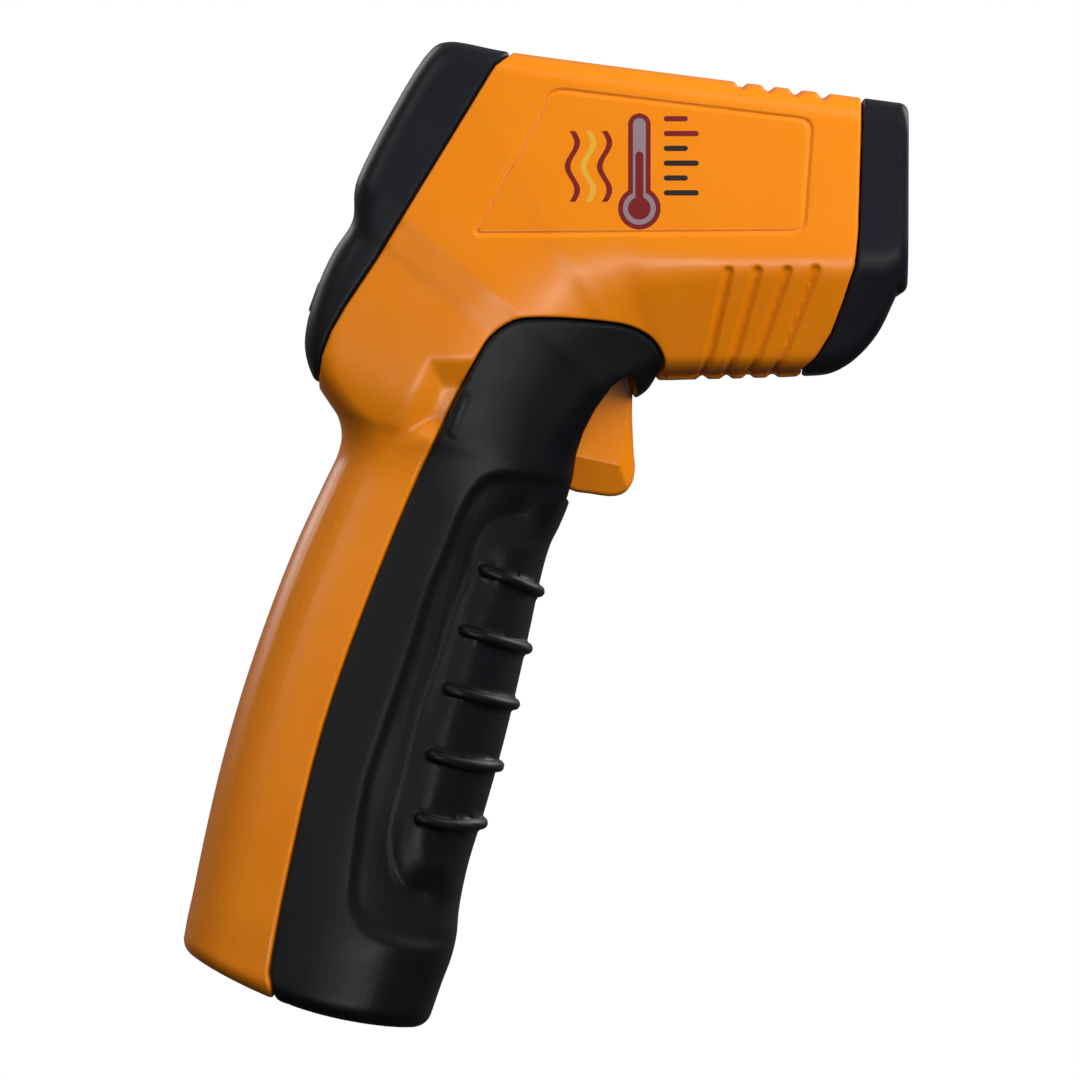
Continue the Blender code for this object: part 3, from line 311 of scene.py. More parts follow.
def rings_of_body(at, counts, inset=0.0):
    """Points (station, point, xyz) of the right half without its ends, and the heel's outward normal."""
    front, back, sizes = body_rows(at, inset)
    length = np.linalg.norm(back - front, axis=1)
    half = half_sections(length, sizes, counts)
    along = (back - front) / length[:, None]
    place = front[:, None] + along[:, None] * half[..., :1]
    rings = np.stack([place[..., 0], -half[..., 1], place[..., 1]], -1)
    normal = np.array([along[0, 1], 0, -along[0, 0]])
    normal = normal if normal[2] < 0 else -normal
    if not inset:
        bow = BOTTOM_BOW * np.clip(1 - at / 1.2, 0, 1) ** 2
        share = half[..., 0] / length[:, None]
        rings += (bow[:, None] * 4 * share * (1 - share))[..., None] * normal
    return rings, normal


def cap_rings(ring, normal, radius, steps, flat_steps):
    """Rings that round an end over along a quarter circle, and then close in flat to its middle line."""
    middle = (ring[0] + ring[-1]) / 2
    half_length = np.linalg.norm(ring[-1] - ring[0]) / 2
    along = (ring[-1] - ring[0]) / (2 * half_length)
    widest = np.abs(ring[:, 1]).max()
    found = []
    for k in range(1, steps + 1):
        turn = math.pi / 2 * k / steps
        draw = radius * (1 - math.cos(turn))
        lengthwise = (ring - middle) @ along
        moved = ring - np.outer(lengthwise * (draw / half_length), along)
        moved[:, 1] = ring[:, 1] * (1 - draw / widest)
        found.append(moved + normal * radius * math.sin(turn))
    for k in range(1, flat_steps + 1):
        closing = found[steps - 1].copy()
        closing[:, 1] *= 1 - k / flat_steps
        found.append(closing)
    return np.stack(found)


def even_stations(spacing):
    """Station numbers that lie no more than the spacing apart on the front and back lines."""
    dense = np.linspace(0, len(STATIONS) - 1, 4001)
    front, back, _ = body_rows(dense)
    travel = np.maximum(*(np.linalg.norm(np.diff(line, axis=0), axis=1) for line in (front, back)))
    total = np.concatenate([[0], np.cumsum(travel)])
    return np.interp(np.linspace(0, total[-1], math.ceil(total[-1] / spacing)), total, dense)


def grid_triangles(rows, columns):
    """Triangles over a grid of points that is numbered row by row."""
    corner = (np.arange(rows - 1)[:, None] * columns + np.arange(columns - 1)).ravel()
    low = np.stack([corner, corner + columns + 1, corner + 1], -1)
    high = np.stack([corner, corner + columns, corner + columns + 1], -1)
    return np.concatenate([low, high])


def body_skin():
    """The whole right half as (outer points, inner points, triangles)."""
    at = even_stations(STEP)
    scale = FINE_STEP / STEP
    counts = [max(2, round(n * scale)) for n in (14, 12, 26, 12, 42, 10, 30)]
    outer, normal = rings_of_body(at, counts)
    inner, _ = rings_of_body(np.clip(at, 0.25, len(STATIONS) - 1.28), counts, WALL)
    round_steps, flat_steps = max(3, round(7 * scale)), max(8, round(30 * scale))
    heel = cap_rings(outer[0], normal, BOTTOM_ROUND, round_steps, flat_steps)[::-1]
    muzzle = cap_rings(outer[-1], np.array([1.0, 0, 0]), FRONT_ROUND, round_steps, flat_steps)
    closing = np.concatenate([np.ones(round_steps), 1 - np.arange(1, flat_steps + 1) / flat_steps])
    spread = np.stack([np.ones_like(closing), closing, np.ones_like(closing)], -1)[:, None]
    outer = np.concatenate([heel, outer, muzzle])
    inner = np.concatenate([inner[0] * spread[::-1], inner, inner[-1] * spread])
    return outer.reshape(-1, 3), inner.reshape(-1, 3), grid_triangles(*outer.shape[:2])


# ---------- cutting a skin along level lines


def cut(skin, measure, level):
    """Splits the skin's triangles where the measure passes the level."""
    outer, inner, tris = skin
    value = measure(outer) - level
    value[np.abs(value) < SNAP] = 0
    side = np.sign(value)
    ahead = np.roll(tris, -1, 1)
    crossing = side[tris] * side[ahead] < 0
    key = np.minimum(tris, ahead).astype(np.int64) * len(outer) + np.maximum(tris, ahead)
    keys = np.unique(key[crossing])
    a, b = keys // len(outer), keys % len(outer)
    share = (value[a] / (value[a] - value[b]))[:, None]
    number = len(outer) + np.searchsorted(keys, key)
    crossings = crossing.sum(1)
    parts = [tris[crossings == 0]]
    for count in (1, 2):
        rows = np.flatnonzero(crossings == count)
        odd = crossing[rows].argmax(1) if count == 1 else ((~crossing[rows]).argmax(1) + 2) % 3
        turn = (odd[:, None] + np.arange(3)) % 3
        v = np.take_along_axis(tris[rows], turn, 1)
        m = np.take_along_axis(number[rows], turn, 1)
        parts.append(np.stack([v[:, 0], m[:, 0], v[:, 2] if count == 1 else m[:, 2]], -1))
        parts.append(np.stack([m[:, 0], v[:, 1], v[:, 2]], -1))
        if count == 2:
            parts.append(np.stack([m[:, 0], v[:, 2], m[:, 2]], -1))
    outer = np.concatenate([outer, outer[a] + (outer[b] - outer[a]) * share])
    inner = np.concatenate([inner, inner[a] + (inner[b] - inner[a]) * share])
    return outer, inner, np.concatenate(parts)


def keep(skin, measure, level=0.0):
    """Cuts the skin at the level and keeps the side where the measure is greater."""
    outer, inner, tris = cut(skin, measure, level)
    value = measure(outer) - level
    tris = tris[value[tris].mean(1) > 0]
    used, flat = np.unique(tris, return_inverse=True)
    return outer[used], inner[used], flat.reshape(-1, 3)


def to_line(points, line):
    """Distance of (x, z) points from a polyline."""
    line = np.array(line, float)
    nearest = np.full(len(points), np.inf)
    for a, b in zip(line, line[1:]):
        run = b - a
        offset = points - a
        share = np.clip(offset @ run / (run @ run), 0, 1)
        gap = offset - share[:, None] * run
        nearest = np.minimum(nearest, np.hypot(gap[:, 0], gap[:, 1]))
    return nearest


def inside_of(points, outline):
    """Signed distance of (x, z) points into a closed outline."""
    distance = to_line(points, [*outline, outline[0]])
    outline = np.array(outline, float)
    ahead = np.roll(outline, -1, 0)
    odd = np.zeros(len(points), bool)
    for (x1, z1), (x2, z2) in zip(outline, ahead):
        if z1 == z2:
            continue
        passes = (points[:, 1] < z1) != (points[:, 1] < z2)
        odd ^= passes & (points[:, 0] < x1 + (points[:, 1] - z1) * (x2 - x1) / (z2 - z1))
    return np.where(odd, distance, -distance)


def circle(x, y, radius, degrees):
    """Points of a circle at the given turns."""
    turns = [math.radians(d) for d in degrees]
    return [(x + radius * math.cos(turn), y + radius * math.sin(turn)) for turn in turns]


def oblong(half_1, half_2):
    """The corners of a rectangle round its middle."""
    return [(-half_1, -half_2), (half_1, -half_2), (half_1, half_2), (-half_1, half_2)]


def rounded(corners, radius, steps=5):
    """A closed outline with its corners rounded."""
    corners = [Vector(c) for c in corners]
    found = []
    for i, here in enumerate(corners):
        start = here + (corners[i - 1] - here).normalized() * radius
        end = here + (corners[(i + 1) % len(corners)] - here).normalized() * radius
        for k in range(steps + 1):
            u = k / steps
            found.append(tuple((1 - u) ** 2 * start + 2 * u * (1 - u) * here + u * u * end))
    return found


def smooth_step(value, low, high):
    u = np.clip((value - low) / (high - low), 0, 1)
    return u * u * (3 - 2 * u)


def side_view(points):
    return points[:, ::2]


def region(outline):
    """The measure that tells how far points lie inside an outline on the side view."""
    return lambda points: inside_of(side_view(points), outline)


in_rear = region([*REAR_SEAM, (-60, 46), (-60, 130), (19.2, 130)])
in_muzzle = region([*FRONT_SEAM, (61, 20), (110, 20), (110, 130), (72.2, 130)])
in_door = region([
    *circle(*DOOR_PIVOT, DOOR_CORNER_R, range(-90, -181, -10)),
    *(p for p in smooth_line(DOOR_SEAM, 3)[0] if p[1] > DOOR_PIVOT[1] + 2.0),
    (60, 40), (60, -70), (DOOR_PIVOT[0], -70),
])
SHELL_NEIGHBOURS = (in_rear, in_muzzle, in_door)
in_notch = region(NOTCH)
in_slot = region(rounded([(36.9, 52.0), (36.9, SLOT_FOOT), (18.0, SLOT_FOOT), (18.0, 60.0)], 0.8))
in_panel = region(rounded(PANEL, PANEL_CORNER))
in_pocket = region(smooth_line(POCKET, 3)[0])
in_pad = region(smooth_line(PAD, 3)[0])


def out_of_notch(points):
    return -in_notch(points)


def out_of_slot(points):
    """Distance outside the trigger's slot in the front of the grip."""
    return np.maximum(np.abs(points[:, 1]) - SLOT_HALF, -in_slot(points))


# ---------- relief


def near(lines):
    """The measure that tells how far points lie from the nearest of some lines on the side view."""
    return lambda points: np.min([to_line(side_view(points), line) for line in lines], axis=0)


groove_distance = near(GROOVES)
rib_distance = near([smooth_line(rib, 4)[0] for rib in RIBS])
tab_distance = near([TAB])
front_distance = near([smooth_line(FRONT_LINE)[0]])


def top_notch_distance(points):
    """Distance from the middle lines of the notches across the head's top edge."""
    reach = np.maximum(np.abs(points[:, 1]) - TOP_NOTCH_REACH, 0)
    found = np.min([np.abs(points[:, 0] - x) for x in TOP_NOTCHES], axis=0)
    return np.where(points[:, 2] > TOP_NOTCHES_ABOVE, np.hypot(found, reach), FAR)


def panel_distance(points):
    """Distance into the sunk panel, on the side of the head only."""
    return np.where(points[:, 1] < -15, in_panel(points), -FAR)


def lip(distance, radius):
    """How far a rounded edge drops at a distance from it."""
    short = np.clip(radius - distance, 0, radius)
    return radius - np.sqrt(np.maximum(radius**2 - short**2, 0))


def dip(distance, half_width, depth):
    """A round-bottomed groove's depth at a distance from its middle line."""
    return depth * (1 - smooth_step(distance, 0, half_width))


def hollow_of_thumb(points):
    """The recess for a finger beside the door: facets at its top, back and foot, and open to the seam."""
    flat = side_view(points)
    walls = []
    for a, b, width in THUMB_FACETS:
        start, end = np.array(THUMB[a]), np.array(THUMB[b])
        run = (end - start) / np.linalg.norm(end - start)
        into = -(run[0] * (flat[:, 1] - start[1]) - run[1] * (flat[:, 0] - start[0]))
        walls.append(np.clip(into / width, 0, 1))
    return THUMB_DEPTH * np.min(walls, axis=0)


def softened(field, low, high, spread):
    """A field over the side view averaged over a spread in millimetres, as a function of points."""
    spacing = 0.25
    x, z = (np.arange(a, b, spacing) for a, b in zip(low, high))
    grid = np.stack([*np.meshgrid(x, z, indexing="ij")], -1).reshape(-1, 2)
    values = field(np.stack([grid[:, 0], np.zeros(len(grid)), grid[:, 1]], -1)).reshape(len(x), len(z))
    reach = math.ceil(3 * spread / spacing)
    weights = np.exp(-0.5 * (np.arange(-reach, reach + 1) * spacing / spread) ** 2)
    weights /= weights.sum()
    for axis in (0, 1):
        values = np.apply_along_axis(np.convolve, axis, values, weights, "same")

    def read(points):
        u = np.clip((points[:, 0] - low[0]) / spacing, 0, len(x) - 1.01)
        v = np.clip((points[:, 2] - low[1]) / spacing, 0, len(z) - 1.01)
        i, j = u.astype(int), v.astype(int)
        u, v = u - i, v - j
        return (
            values[i, j] * (1 - u) * (1 - v)
            + values[i + 1, j] * u * (1 - v)
            + values[i, j + 1] * (1 - u) * v
            + values[i + 1, j + 1] * u * v
        )

    return read


THUMB_HOLLOW = softened(hollow_of_thumb, (-8.0, 34.0), (22.0, 60.0), 0.42)


def shell_depth(points):
    edge = -np.max([inside(points) for inside in SHELL_NEIGHBOURS], axis=0) - GAP / 2
    panel = panel_distance(points)
    depth = lip(edge, SEAM_ROUND) + lip(-points[:, 1] - GAP / 2, MIDDLE_ROUND)
    depth += dip(np.abs(panel - PANEL_GROOVE_IN), *PANEL_GROOVE) + PANEL_SUNK * smooth_step(panel, 0.2, 0.7)
    depth += dip(groove_distance(points), *SLANTING_GROOVE) * (points[:, 2] < GROOVES_BELOW)
    depth += dip(top_notch_distance(points), *TOP_NOTCH)
    return depth + THUMB_HOLLOW(points) * (points[:, 1] < -8)


def hollow_of_door(points):
    """Depth of the hollow round the finger pad, which rises again to the pad's middle and to the front."""
    pocket, pad = in_pocket(points), in_pad(points)
    into_pocket, short_of_pad = np.maximum(pocket, 0), np.maximum(-pad, 0)
    slope = into_pocket / (into_pocket + short_of_pad + 0.01)
    hollow = HOLLOW_DEPTH * (0.35 * smooth_step(pocket, -0.1, 0.6) + 0.65 * slope)
    hollow -= PAD_STEP * smooth_step(pad, -0.3, 1.3) + PAD_SWELL * smooth_step(pad, 0.8, 4.6)
    return np.maximum(hollow, 0) * smooth_step(front_distance(points), 0.0, 6.0)


DOOR_HOLLOW = softened(hollow_of_door, (-24.0, -55.0), (48.0, 62.0), 0.55)


def door_depth(points):
    edge = np.minimum(in_door(points) - GAP / 2, out_of_notch(points))
    depth = lip(edge, SEAM_ROUND) + lip(out_of_slot(points), SLOT_ROUND) + DOOR_HOLLOW(points)
    under_slot = SLOT_FOOT - points[:, 2]
    scoop = (1 - smooth_step(under_slot, 0, 5.5)) * smooth_step(under_slot, -0.2, 0.2)
    in_from_side = smooth_step(9.0 - np.abs(points[:, 1]), 0, 3.0)
    depth += SCOOP_DEPTH * scoop * in_from_side * (points[:, 0] > 22)
    height = RIB_HEIGHT * np.sqrt(np.maximum(1 - (rib_distance(points) / RIB_RADIUS) ** 2, 0))
    depth -= np.where(points[:, 0] > 2.0, height, 0)
    return depth - dip(tab_distance(points), *TAB_MARK)


def on_middle(points):
    return np.abs(points[:, 1]) < 1e-6


def normals_of(points, tris):
    a, b, c = (points[tris[:, k]] for k in range(3))
    face = np.cross(b - a, c - a)
    found = np.zeros_like(points)
    for k in range(3):
        np.add.at(found, tris[:, k], face)
    found[on_middle(points), 1] = 0
    return found / np.maximum(np.linalg.norm(found, axis=1, keepdims=True), 1e-12)


def pressed(skin, depth):
    """The skin with its outer points moved in along their normals by the depth."""
    outer, inner, tris = skin
    normal = normals_of(outer, tris)
    moved = outer - normal * depth(outer)[:, None]
    moved[on_middle(outer), 1] = 0
    return moved, inner, tris


# ---------- meshes and materials


def add_mesh(name, points, faces, mat, body, replaces=(), sharp=30.0):
    mesh = bpy.data.meshes.new(name)
    mesh.from_pydata((np.asarray(points, float) * MM).tolist(), [], [list(map(int, f)) for f in faces])
    mesh.update()
    bm = bmesh.new()
    bm.from_mesh(mesh)
    bmesh.ops.recalc_face_normals(bm, faces=bm.faces)
    bm.to_mesh(mesh)
    bm.free()
    mesh.shade_smooth()
    mesh.set_sharp_from_angle(angle=math.radians(sharp))
    mesh.materials.append(mat)
    obj = bpy.data.objects.new(name, mesh)
    SCENE.collection.objects.link(obj)
    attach(obj, body)
    if replaces:
        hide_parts(*replaces)


MIRROR = np.array([1, -1, 1])


def walled(skin, mirrored, solid):
    """Points and faces of a skin given its inner skin and a rim, and joined to its mirror image if wanted."""
    outer, inner, tris = skin
    count = len(outer)
    points = np.concatenate([outer, inner])
    ahead = np.roll(tris, -1, 1)
    directed = np.stack([tris.ravel(), ahead.ravel()], -1)
    key = np.sort(directed, 1) @ np.array([count, 1])
    _, first, times = np.unique(key, return_index=True, return_counts=True)
    rim = directed[first[times == 1]]
    if mirrored:
        rim = rim[~on_middle(outer)[rim].all(1)]
    quads = np.stack([rim[:, 1], rim[:, 0], rim[:, 0] + count, rim[:, 1] + count], -1)
    groups = [tris, quads] if solid else [tris, tris[:, ::-1] + count, quads]
    if mirrored:
        own = np.arange(len(points))
        twin = np.where(on_middle(points), own, own + len(points))
        points = np.concatenate([points, points * MIRROR])
        groups += [twin[group[:, ::-1]] for group in groups]
    faces = [tuple(f) for group in groups for f in group.tolist()]
    faces = [f for f in (tuple(dict.fromkeys(f)) for f in faces) if len(f) > 2]
    used, flat = np.unique(np.concatenate([np.array(f) for f in faces]), return_inverse=True)
    counts = np.cumsum([0] + [len(f) for f in faces])
    return points[used], [flat[counts[i] : counts[i + 1]] for i in range(len(faces))]


def principled(name):
    made = bpy.data.materials.new(name)
    made.use_nodes = True
    nodes = made.node_tree.nodes
    return made, nodes, made.node_tree.links, nodes["Principled BSDF"]


def set_inputs(node, **values):
    """Sets a node's inputs; an underscore in a name stands for a space."""
    for label, value in values.items():
        node.inputs[label.replace("_", " ")].default_value = value


def noise_node(nodes, links, scale, detail, stretch=(1, 1, 1)):
    """Noise in the object's own metres: the scale is features per metre."""
    place = nodes.new("ShaderNodeTexCoord")
    mapping = nodes.new("ShaderNodeMapping")
    set_inputs(mapping, Scale=stretch)
    found = nodes.new("ShaderNodeTexNoise")
    set_inputs(found, Scale=scale, Detail=detail)
    links.new(place.outputs["Object"], mapping.inputs["Vector"])
    links.new(mapping.outputs["Vector"], found.inputs["Vector"])
    return found


def ranged(nodes, links, source, low, high, start=0.3, end=0.7):
    """The source's values from start to end, spread from low to high."""
    found = nodes.new("ShaderNodeMapRange")
    set_inputs(found, From_Min=start, From_Max=end, To_Min=low, To_Max=high)
    links.new(source, found.inputs["Value"])
    return found.outputs["Result"]


GRAIN_HEIGHT = 0.00004
WEAR = 0.035


def moulded(name, colour, varied, roughness, grain=9000.0, bump=0.12, metallic=0.0, coat=0.0, gloss=0.5,
            stretch=(1, 1, 1)):
    """A moulded or drawn surface: two close colours in broad patches, varied roughness, and a fine grain."""
    made, nodes, links, shader = principled(name)
    patches = noise_node(nodes, links, 55.0, 2.0)
    mix = nodes.new("ShaderNodeMix")
    mix.data_type = "RGBA"
    set_inputs(mix, A=(*colour, 1), B=(*varied, 1))
    links.new(ranged(nodes, links, patches.outputs["Fac"], 0.0, 1.0), mix.inputs["Factor"])
    links.new(mix.outputs["Result"], shader.inputs["Base Color"])
    smudges = noise_node(nodes, links, 160.0, 4.0)
    worn = ranged(nodes, links, smudges.outputs["Fac"], roughness - WEAR, roughness + WEAR)
    links.new(worn, shader.inputs["Roughness"])
    fine = noise_node(nodes, links, grain, 2.0, stretch)
    relief = nodes.new("ShaderNodeBump")
    set_inputs(relief, Strength=bump, Distance=GRAIN_HEIGHT)
    links.new(fine.outputs["Fac"], relief.inputs["Height"])
    links.new(relief.outputs["Normal"], shader.inputs["Normal"])
    set_inputs(shader, Metallic=metallic, Coat_Weight=coat, Coat_Roughness=0.25, Specular_IOR_Level=gloss)
    return made


ORANGE = moulded("orange_moulding", (1.0, 0.285, 0.004), (0.985, 0.27, 0.003), 0.27, 5200.0, 0.10)
BLACK = moulded("black_moulding", (0.0085, 0.0095, 0.0125), (0.0105, 0.0115, 0.015), 0.40, 4200.0, 0.22,
                gloss=0.34)
RUBBER = moulded("soft_touch_black", (0.0028, 0.0040, 0.0056), (0.0038, 0.0050, 0.0068), 0.42, 3600.0, 0.30,
                 gloss=0.44)
STEEL = moulded("plated_steel", (0.62, 0.62, 0.63), (0.52, 0.52, 0.54), 0.28, 2600.0, 0.1, 1.0,
                stretch=(1, 8, 1))
BRASS = moulded("turned_brass", (0.74, 0.53, 0.22), (0.66, 0.45, 0.17), 0.3, 2500.0, 0.12, 1.0,
                stretch=(9, 1, 1))
BOARD = moulded("solder_mask", (0.008, 0.11, 0.045), (0.012, 0.15, 0.06), 0.38, 700.0, 0.5)
WHITE = moulded("white_moulding", (0.78, 0.78, 0.75), (0.72, 0.72, 0.68), 0.45)
SLEEVE = moulded("cell_sleeve", (0.02, 0.045, 0.16), (0.03, 0.07, 0.22), 0.3, 500.0, 0.15, coat=0.3)
RED = moulded("red_insulation", (0.55, 0.02, 0.015), (0.45, 0.015, 0.012), 0.42)
LENS = moulded("milky_lens", (0.34, 0.35, 0.37), (0.28, 0.29, 0.31), 0.22, coat=0.4)
PRINT_RED = moulded("print_red", (0.23, 0.012, 0.014), (0.2, 0.010, 0.012), 0.4, 6000.0, 0.1)
PRINT_GREY = moulded("print_grey", (0.33, 0.24, 0.26), (0.29, 0.21, 0.23), 0.42, 6000.0, 0.1)
PRINT_BLACK = moulded("print_black", (0.02, 0.014, 0.013), (0.026, 0.018, 0.016), 0.4, 6000.0, 0.1)
PRINT_YELLOW = moulded("print_yellow", (0.85, 0.5, 0.05), (0.8, 0.42, 0.04), 0.4, 6000.0, 0.1)
PANEL_GREY = moulded("liquid_crystal", (0.29, 0.34, 0.29), (0.26, 0.31, 0.27), 0.3, 900.0, 0.05)
SEGMENTS = moulded("display_segments", (0.015, 0.02, 0.02), (0.02, 0.025, 0.024), 0.35)
LEGEND = moulded("key_legend", (0.62, 0.62, 0.6), (0.55, 0.55, 0.53), 0.45)


def clear(name):
    made, nodes, links, shader = principled(name)
    set_inputs(shader, Base_Color=(0.93, 0.96, 0.96, 1), Transmission_Weight=1.0, IOR=1.46)
    smudges = noise_node(nodes, links, 220.0, 4.0)
    links.new(ranged(nodes, links, smudges.outputs["Fac"], 0.02, 0.07), shader.inputs["Roughness"])
    return made


CLEAR = clear("clear_acrylic")
SLOT_MATERIALS = {
    "orange_abs": ORANGE, "black_abs": BLACK, "black_rubber": RUBBER, "steel": STEEL, "brass": BRASS,
    "circuit_board": BOARD, "clear_window": CLEAR, "display_glass": PANEL_GREY, "white_plastic": WHITE,
    "infrared_lens": LENS, "cell_wrap": SLEEVE, "red_wire": RED,
}
SLOT_OF = {row["node"]: row["material_slot"] for row in frame["record"]["subparts"]}
for node_name, node in frame["nodes"].items():
    node.data.materials.clear()
    node.data.materials.append(SLOT_MATERIALS[SLOT_OF[node_name]])


def place_matrix(at, inward):
    """Local +Z along an (x, z) direction from an (x, z) place, with +Y across the body, in millimetres."""
    z_axis = Vector((inward[0], 0, inward[1])).normalized()
    y_axis = Vector((0, 1, 0))
    rotation = Matrix((y_axis.cross(z_axis), y_axis, z_axis)).transposed().to_4x4()
    return Matrix.Translation(Vector((at[0], 0, at[1]))) @ rotation


DISPLAY = place_matrix(DISPLAY_AT, DISPLAY_IN)
KEYPAD = place_matrix(KEYPAD_AT, KEYPAD_IN)


def placed(points, matrix):
    """The points moved by a 4 x 4 matrix."""
    matrix = np.array(matrix)
    return np.asarray(points, float) @ matrix[:3, :3].T + matrix[:3, 3]


def outside_box(place, size, middle, corner):
    """The measure of distance outside a rounded rectangle on a place's own plane, and large far from it."""
    inverse = place.inverted()

    def measure(points):
        own = placed(points, inverse)
        up = np.abs(own[:, 0]) - size[0] / 2 + corner
        across = np.abs(own[:, 1] - middle) - size[1] / 2 + corner
        outside = np.hypot(np.maximum(up, 0), np.maximum(across, 0)) + np.minimum(np.maximum(up, across), 0)
        return np.where(np.abs(own[:, 2]) < 4, outside - corner, FAR)

    return measure


# ---------- body mouldings

BODY = body_skin()


def with_levels(skin, measure, levels):
    for level in levels:
        skin = cut(skin, measure, level)
    return skin


def add_skin(name, skin, mat, body, replaces, mirrored=True, solid=False, sharp=42.0):
    points, faces = walled(skin, mirrored, solid)
    add_mesh(name, points, faces, mat, body, replaces, sharp)


def make_shells():
    skin = BODY
    from_seams = [lambda p, inside=inside: -inside(p) - GAP / 2 for inside in SHELL_NEIGHBOURS]
    for from_seam in from_seams:
        skin = keep(skin, from_seam)
    skin = keep(skin, lambda p: -p[:, 1], GAP / 2)
    for from_seam in from_seams:
        skin = with_levels(skin, from_seam, LIP_LEVELS)
    skin = with_levels(skin, panel_distance, PANEL_LEVELS)
    skin = with_levels(skin, groove_distance, GROOVE_LEVELS)
    skin = with_levels(skin, top_notch_distance, TOP_NOTCH_LEVELS)
    right = pressed(skin, shell_depth)
    add_skin("right_shell_skin", right, ORANGE, "body", ["right_shell"], mirrored=False)
    for x, z, _ in SCREW_RECESSES:
        skin = with_levels(skin, lambda p, x=x, z=z: np.hypot(p[:, 0] - x, p[:, 2] - z), SCREW_LEVELS)
    outer, inner, tris = pressed(skin, shell_depth)
    for x, z, half in SCREW_RECESSES:
        reach = np.hypot(skin[0][:, 0] - x, skin[0][:, 2] - z)
        floor = -(half - SCREW_DEPTH)
        outer[:, 1] = np.where(reach < SCREW_R, floor, outer[:, 1])
        outer[:, 1] += lip(np.maximum(reach - SCREW_R - 0.05, 0), 0.3) * (reach >= SCREW_R)
        inner[:, 1] = np.where(reach < SCREW_R + 0.6, floor + SCREW_FLOOR, inner[:, 1])
    left = (outer * MIRROR, inner * MIRROR, tris)
    add_skin("left_shell_skin", left, ORANGE, "body", ["left_shell"], mirrored=False)


def make_bezel(name, inside, openings):
    """A bezel's skin. Each opening is a distance outside it and the radius of its rounded edge."""

    def from_seam(points):
        return inside(points) - GAP / 2

    skin = keep(BODY, from_seam)
    for opening, _ in openings:
        skin = with_levels(keep(skin, opening), opening, LIP_LEVELS)
    skin = with_levels(skin, from_seam, LIP_LEVELS)

    def depth(points):
        found = lip(from_seam(points), SEAM_ROUND)
        for opening, radius in openings:
            found = found + lip(opening(points), radius)
        return found

    add_skin(f"{name}_skin", pressed(skin, depth), BLACK, "body", [name])


def make_bezels():
    key_hole = [size + 2 * GAP for size in BUTTON_SIZE]
    holes = [outside_box(DISPLAY, DISPLAY_SIZE, 0.0, 1.2)]
    holes += [outside_box(KEYPAD, key_hole, k * BUTTON_PITCH, 1.1) for k in (-1, 0, 1)]
    make_bezel("rear_bezel", in_rear, [(hole, KEY_HOLE_ROUND) for hole in holes])

    def from_bore(z, radius):
        return lambda p: np.where(p[:, 0] > 70, np.hypot(p[:, 1], p[:, 2] - z) - radius, FAR)

    cup = (from_bore(SENSOR_Z, SENSOR_R + 0.25), SEAM_ROUND)
    make_bezel("front_bezel", in_muzzle, [cup, (from_bore(LASER_Z, 1.5), LASER_HOLE_ROUND)])


def make_door():
    skin = keep(keep(keep(BODY, in_door, GAP / 2), out_of_notch), out_of_slot)
    skin = with_levels(skin, lambda p: in_door(p) - GAP / 2, LIP_LEVELS)
    skin = with_levels(skin, out_of_notch, LIP_LEVELS)
    skin = with_levels(skin, out_of_slot, SLOT_LEVELS)
    skin = with_levels(skin, rib_distance, RIB_LEVELS)
    door = pressed(skin, door_depth)
    add_skin("battery_door_skin", door, RUBBER, "battery_door", ["battery_door"])


def make_trigger():
    """The finger piece: flat sides that fall away to its front and foot, with rounded edges."""
    outline = smooth_line([*TRIGGER_OUTLINE, TRIGGER_OUTLINE[0]], 4)[0][:-1]
    spacing = 0.35
    x, z = np.meshgrid(np.arange(24.0, 37.6, spacing), np.arange(31.4, 57.8, spacing), indexing="ij")
    flat = np.stack([x.ravel(), np.zeros(x.size), z.ravel()], -1)
    into = region(outline)

    def crease(p):
        """How far the side has fallen away: to the front, or to the foot where that is more."""
        crease_x, crease_z, lean, fall = FRONT_CREASE
        front = (p[:, 0] - (crease_x - (crease_z - p[:, 2]) * lean)) * fall
        crease_x, crease_z, lean, fall = FOOT_CREASE
        return np.maximum(front, ((crease_z - (p[:, 0] - crease_x) * lean) - p[:, 2]) * fall)

    skin = with_levels(keep((flat, flat, grid_triangles(*x.shape)), into), into, TRIGGER_LEVELS)
    skin = with_levels(skin, crease, (0.0, 0.12))
    outer = skin[0].copy()
    lean = 0.05 * np.maximum(54.0 - outer[:, 2], 0)
    fall = np.maximum(crease(outer), 0) + lip(into(outer), 0.6)
    outer[:, 1] = lean + fall - TRIGGER_HALF - TRIGGER_CROWN
    add_skin("trigger_skin", (outer, *skin[1:]), ORANGE, "trigger", ["trigger"], solid=True,
             sharp=35)


make_shells()
make_bezels()
make_door()
make_trigger()

# ---------- optics, display, keys


def turned(name, profile, mat, replaces):
    """A closed (x, radius) profile turned about the sensor's axis."""
    points, faces = [], []
    count, steps = len(profile), 96
    for k in range(steps):
        turn = math.tau * k / steps
        points += [(x, r * math.sin(turn), SENSOR_Z + r * math.cos(turn)) for x, r in profile]
        ahead = (k + 1) % steps
        for i in range(count):
            j = (i + 1) % count
            faces.append((k * count + i, k * count + j, ahead * count + j, ahead * count + i))
    add_mesh(name, points, faces, mat, "body", replaces)


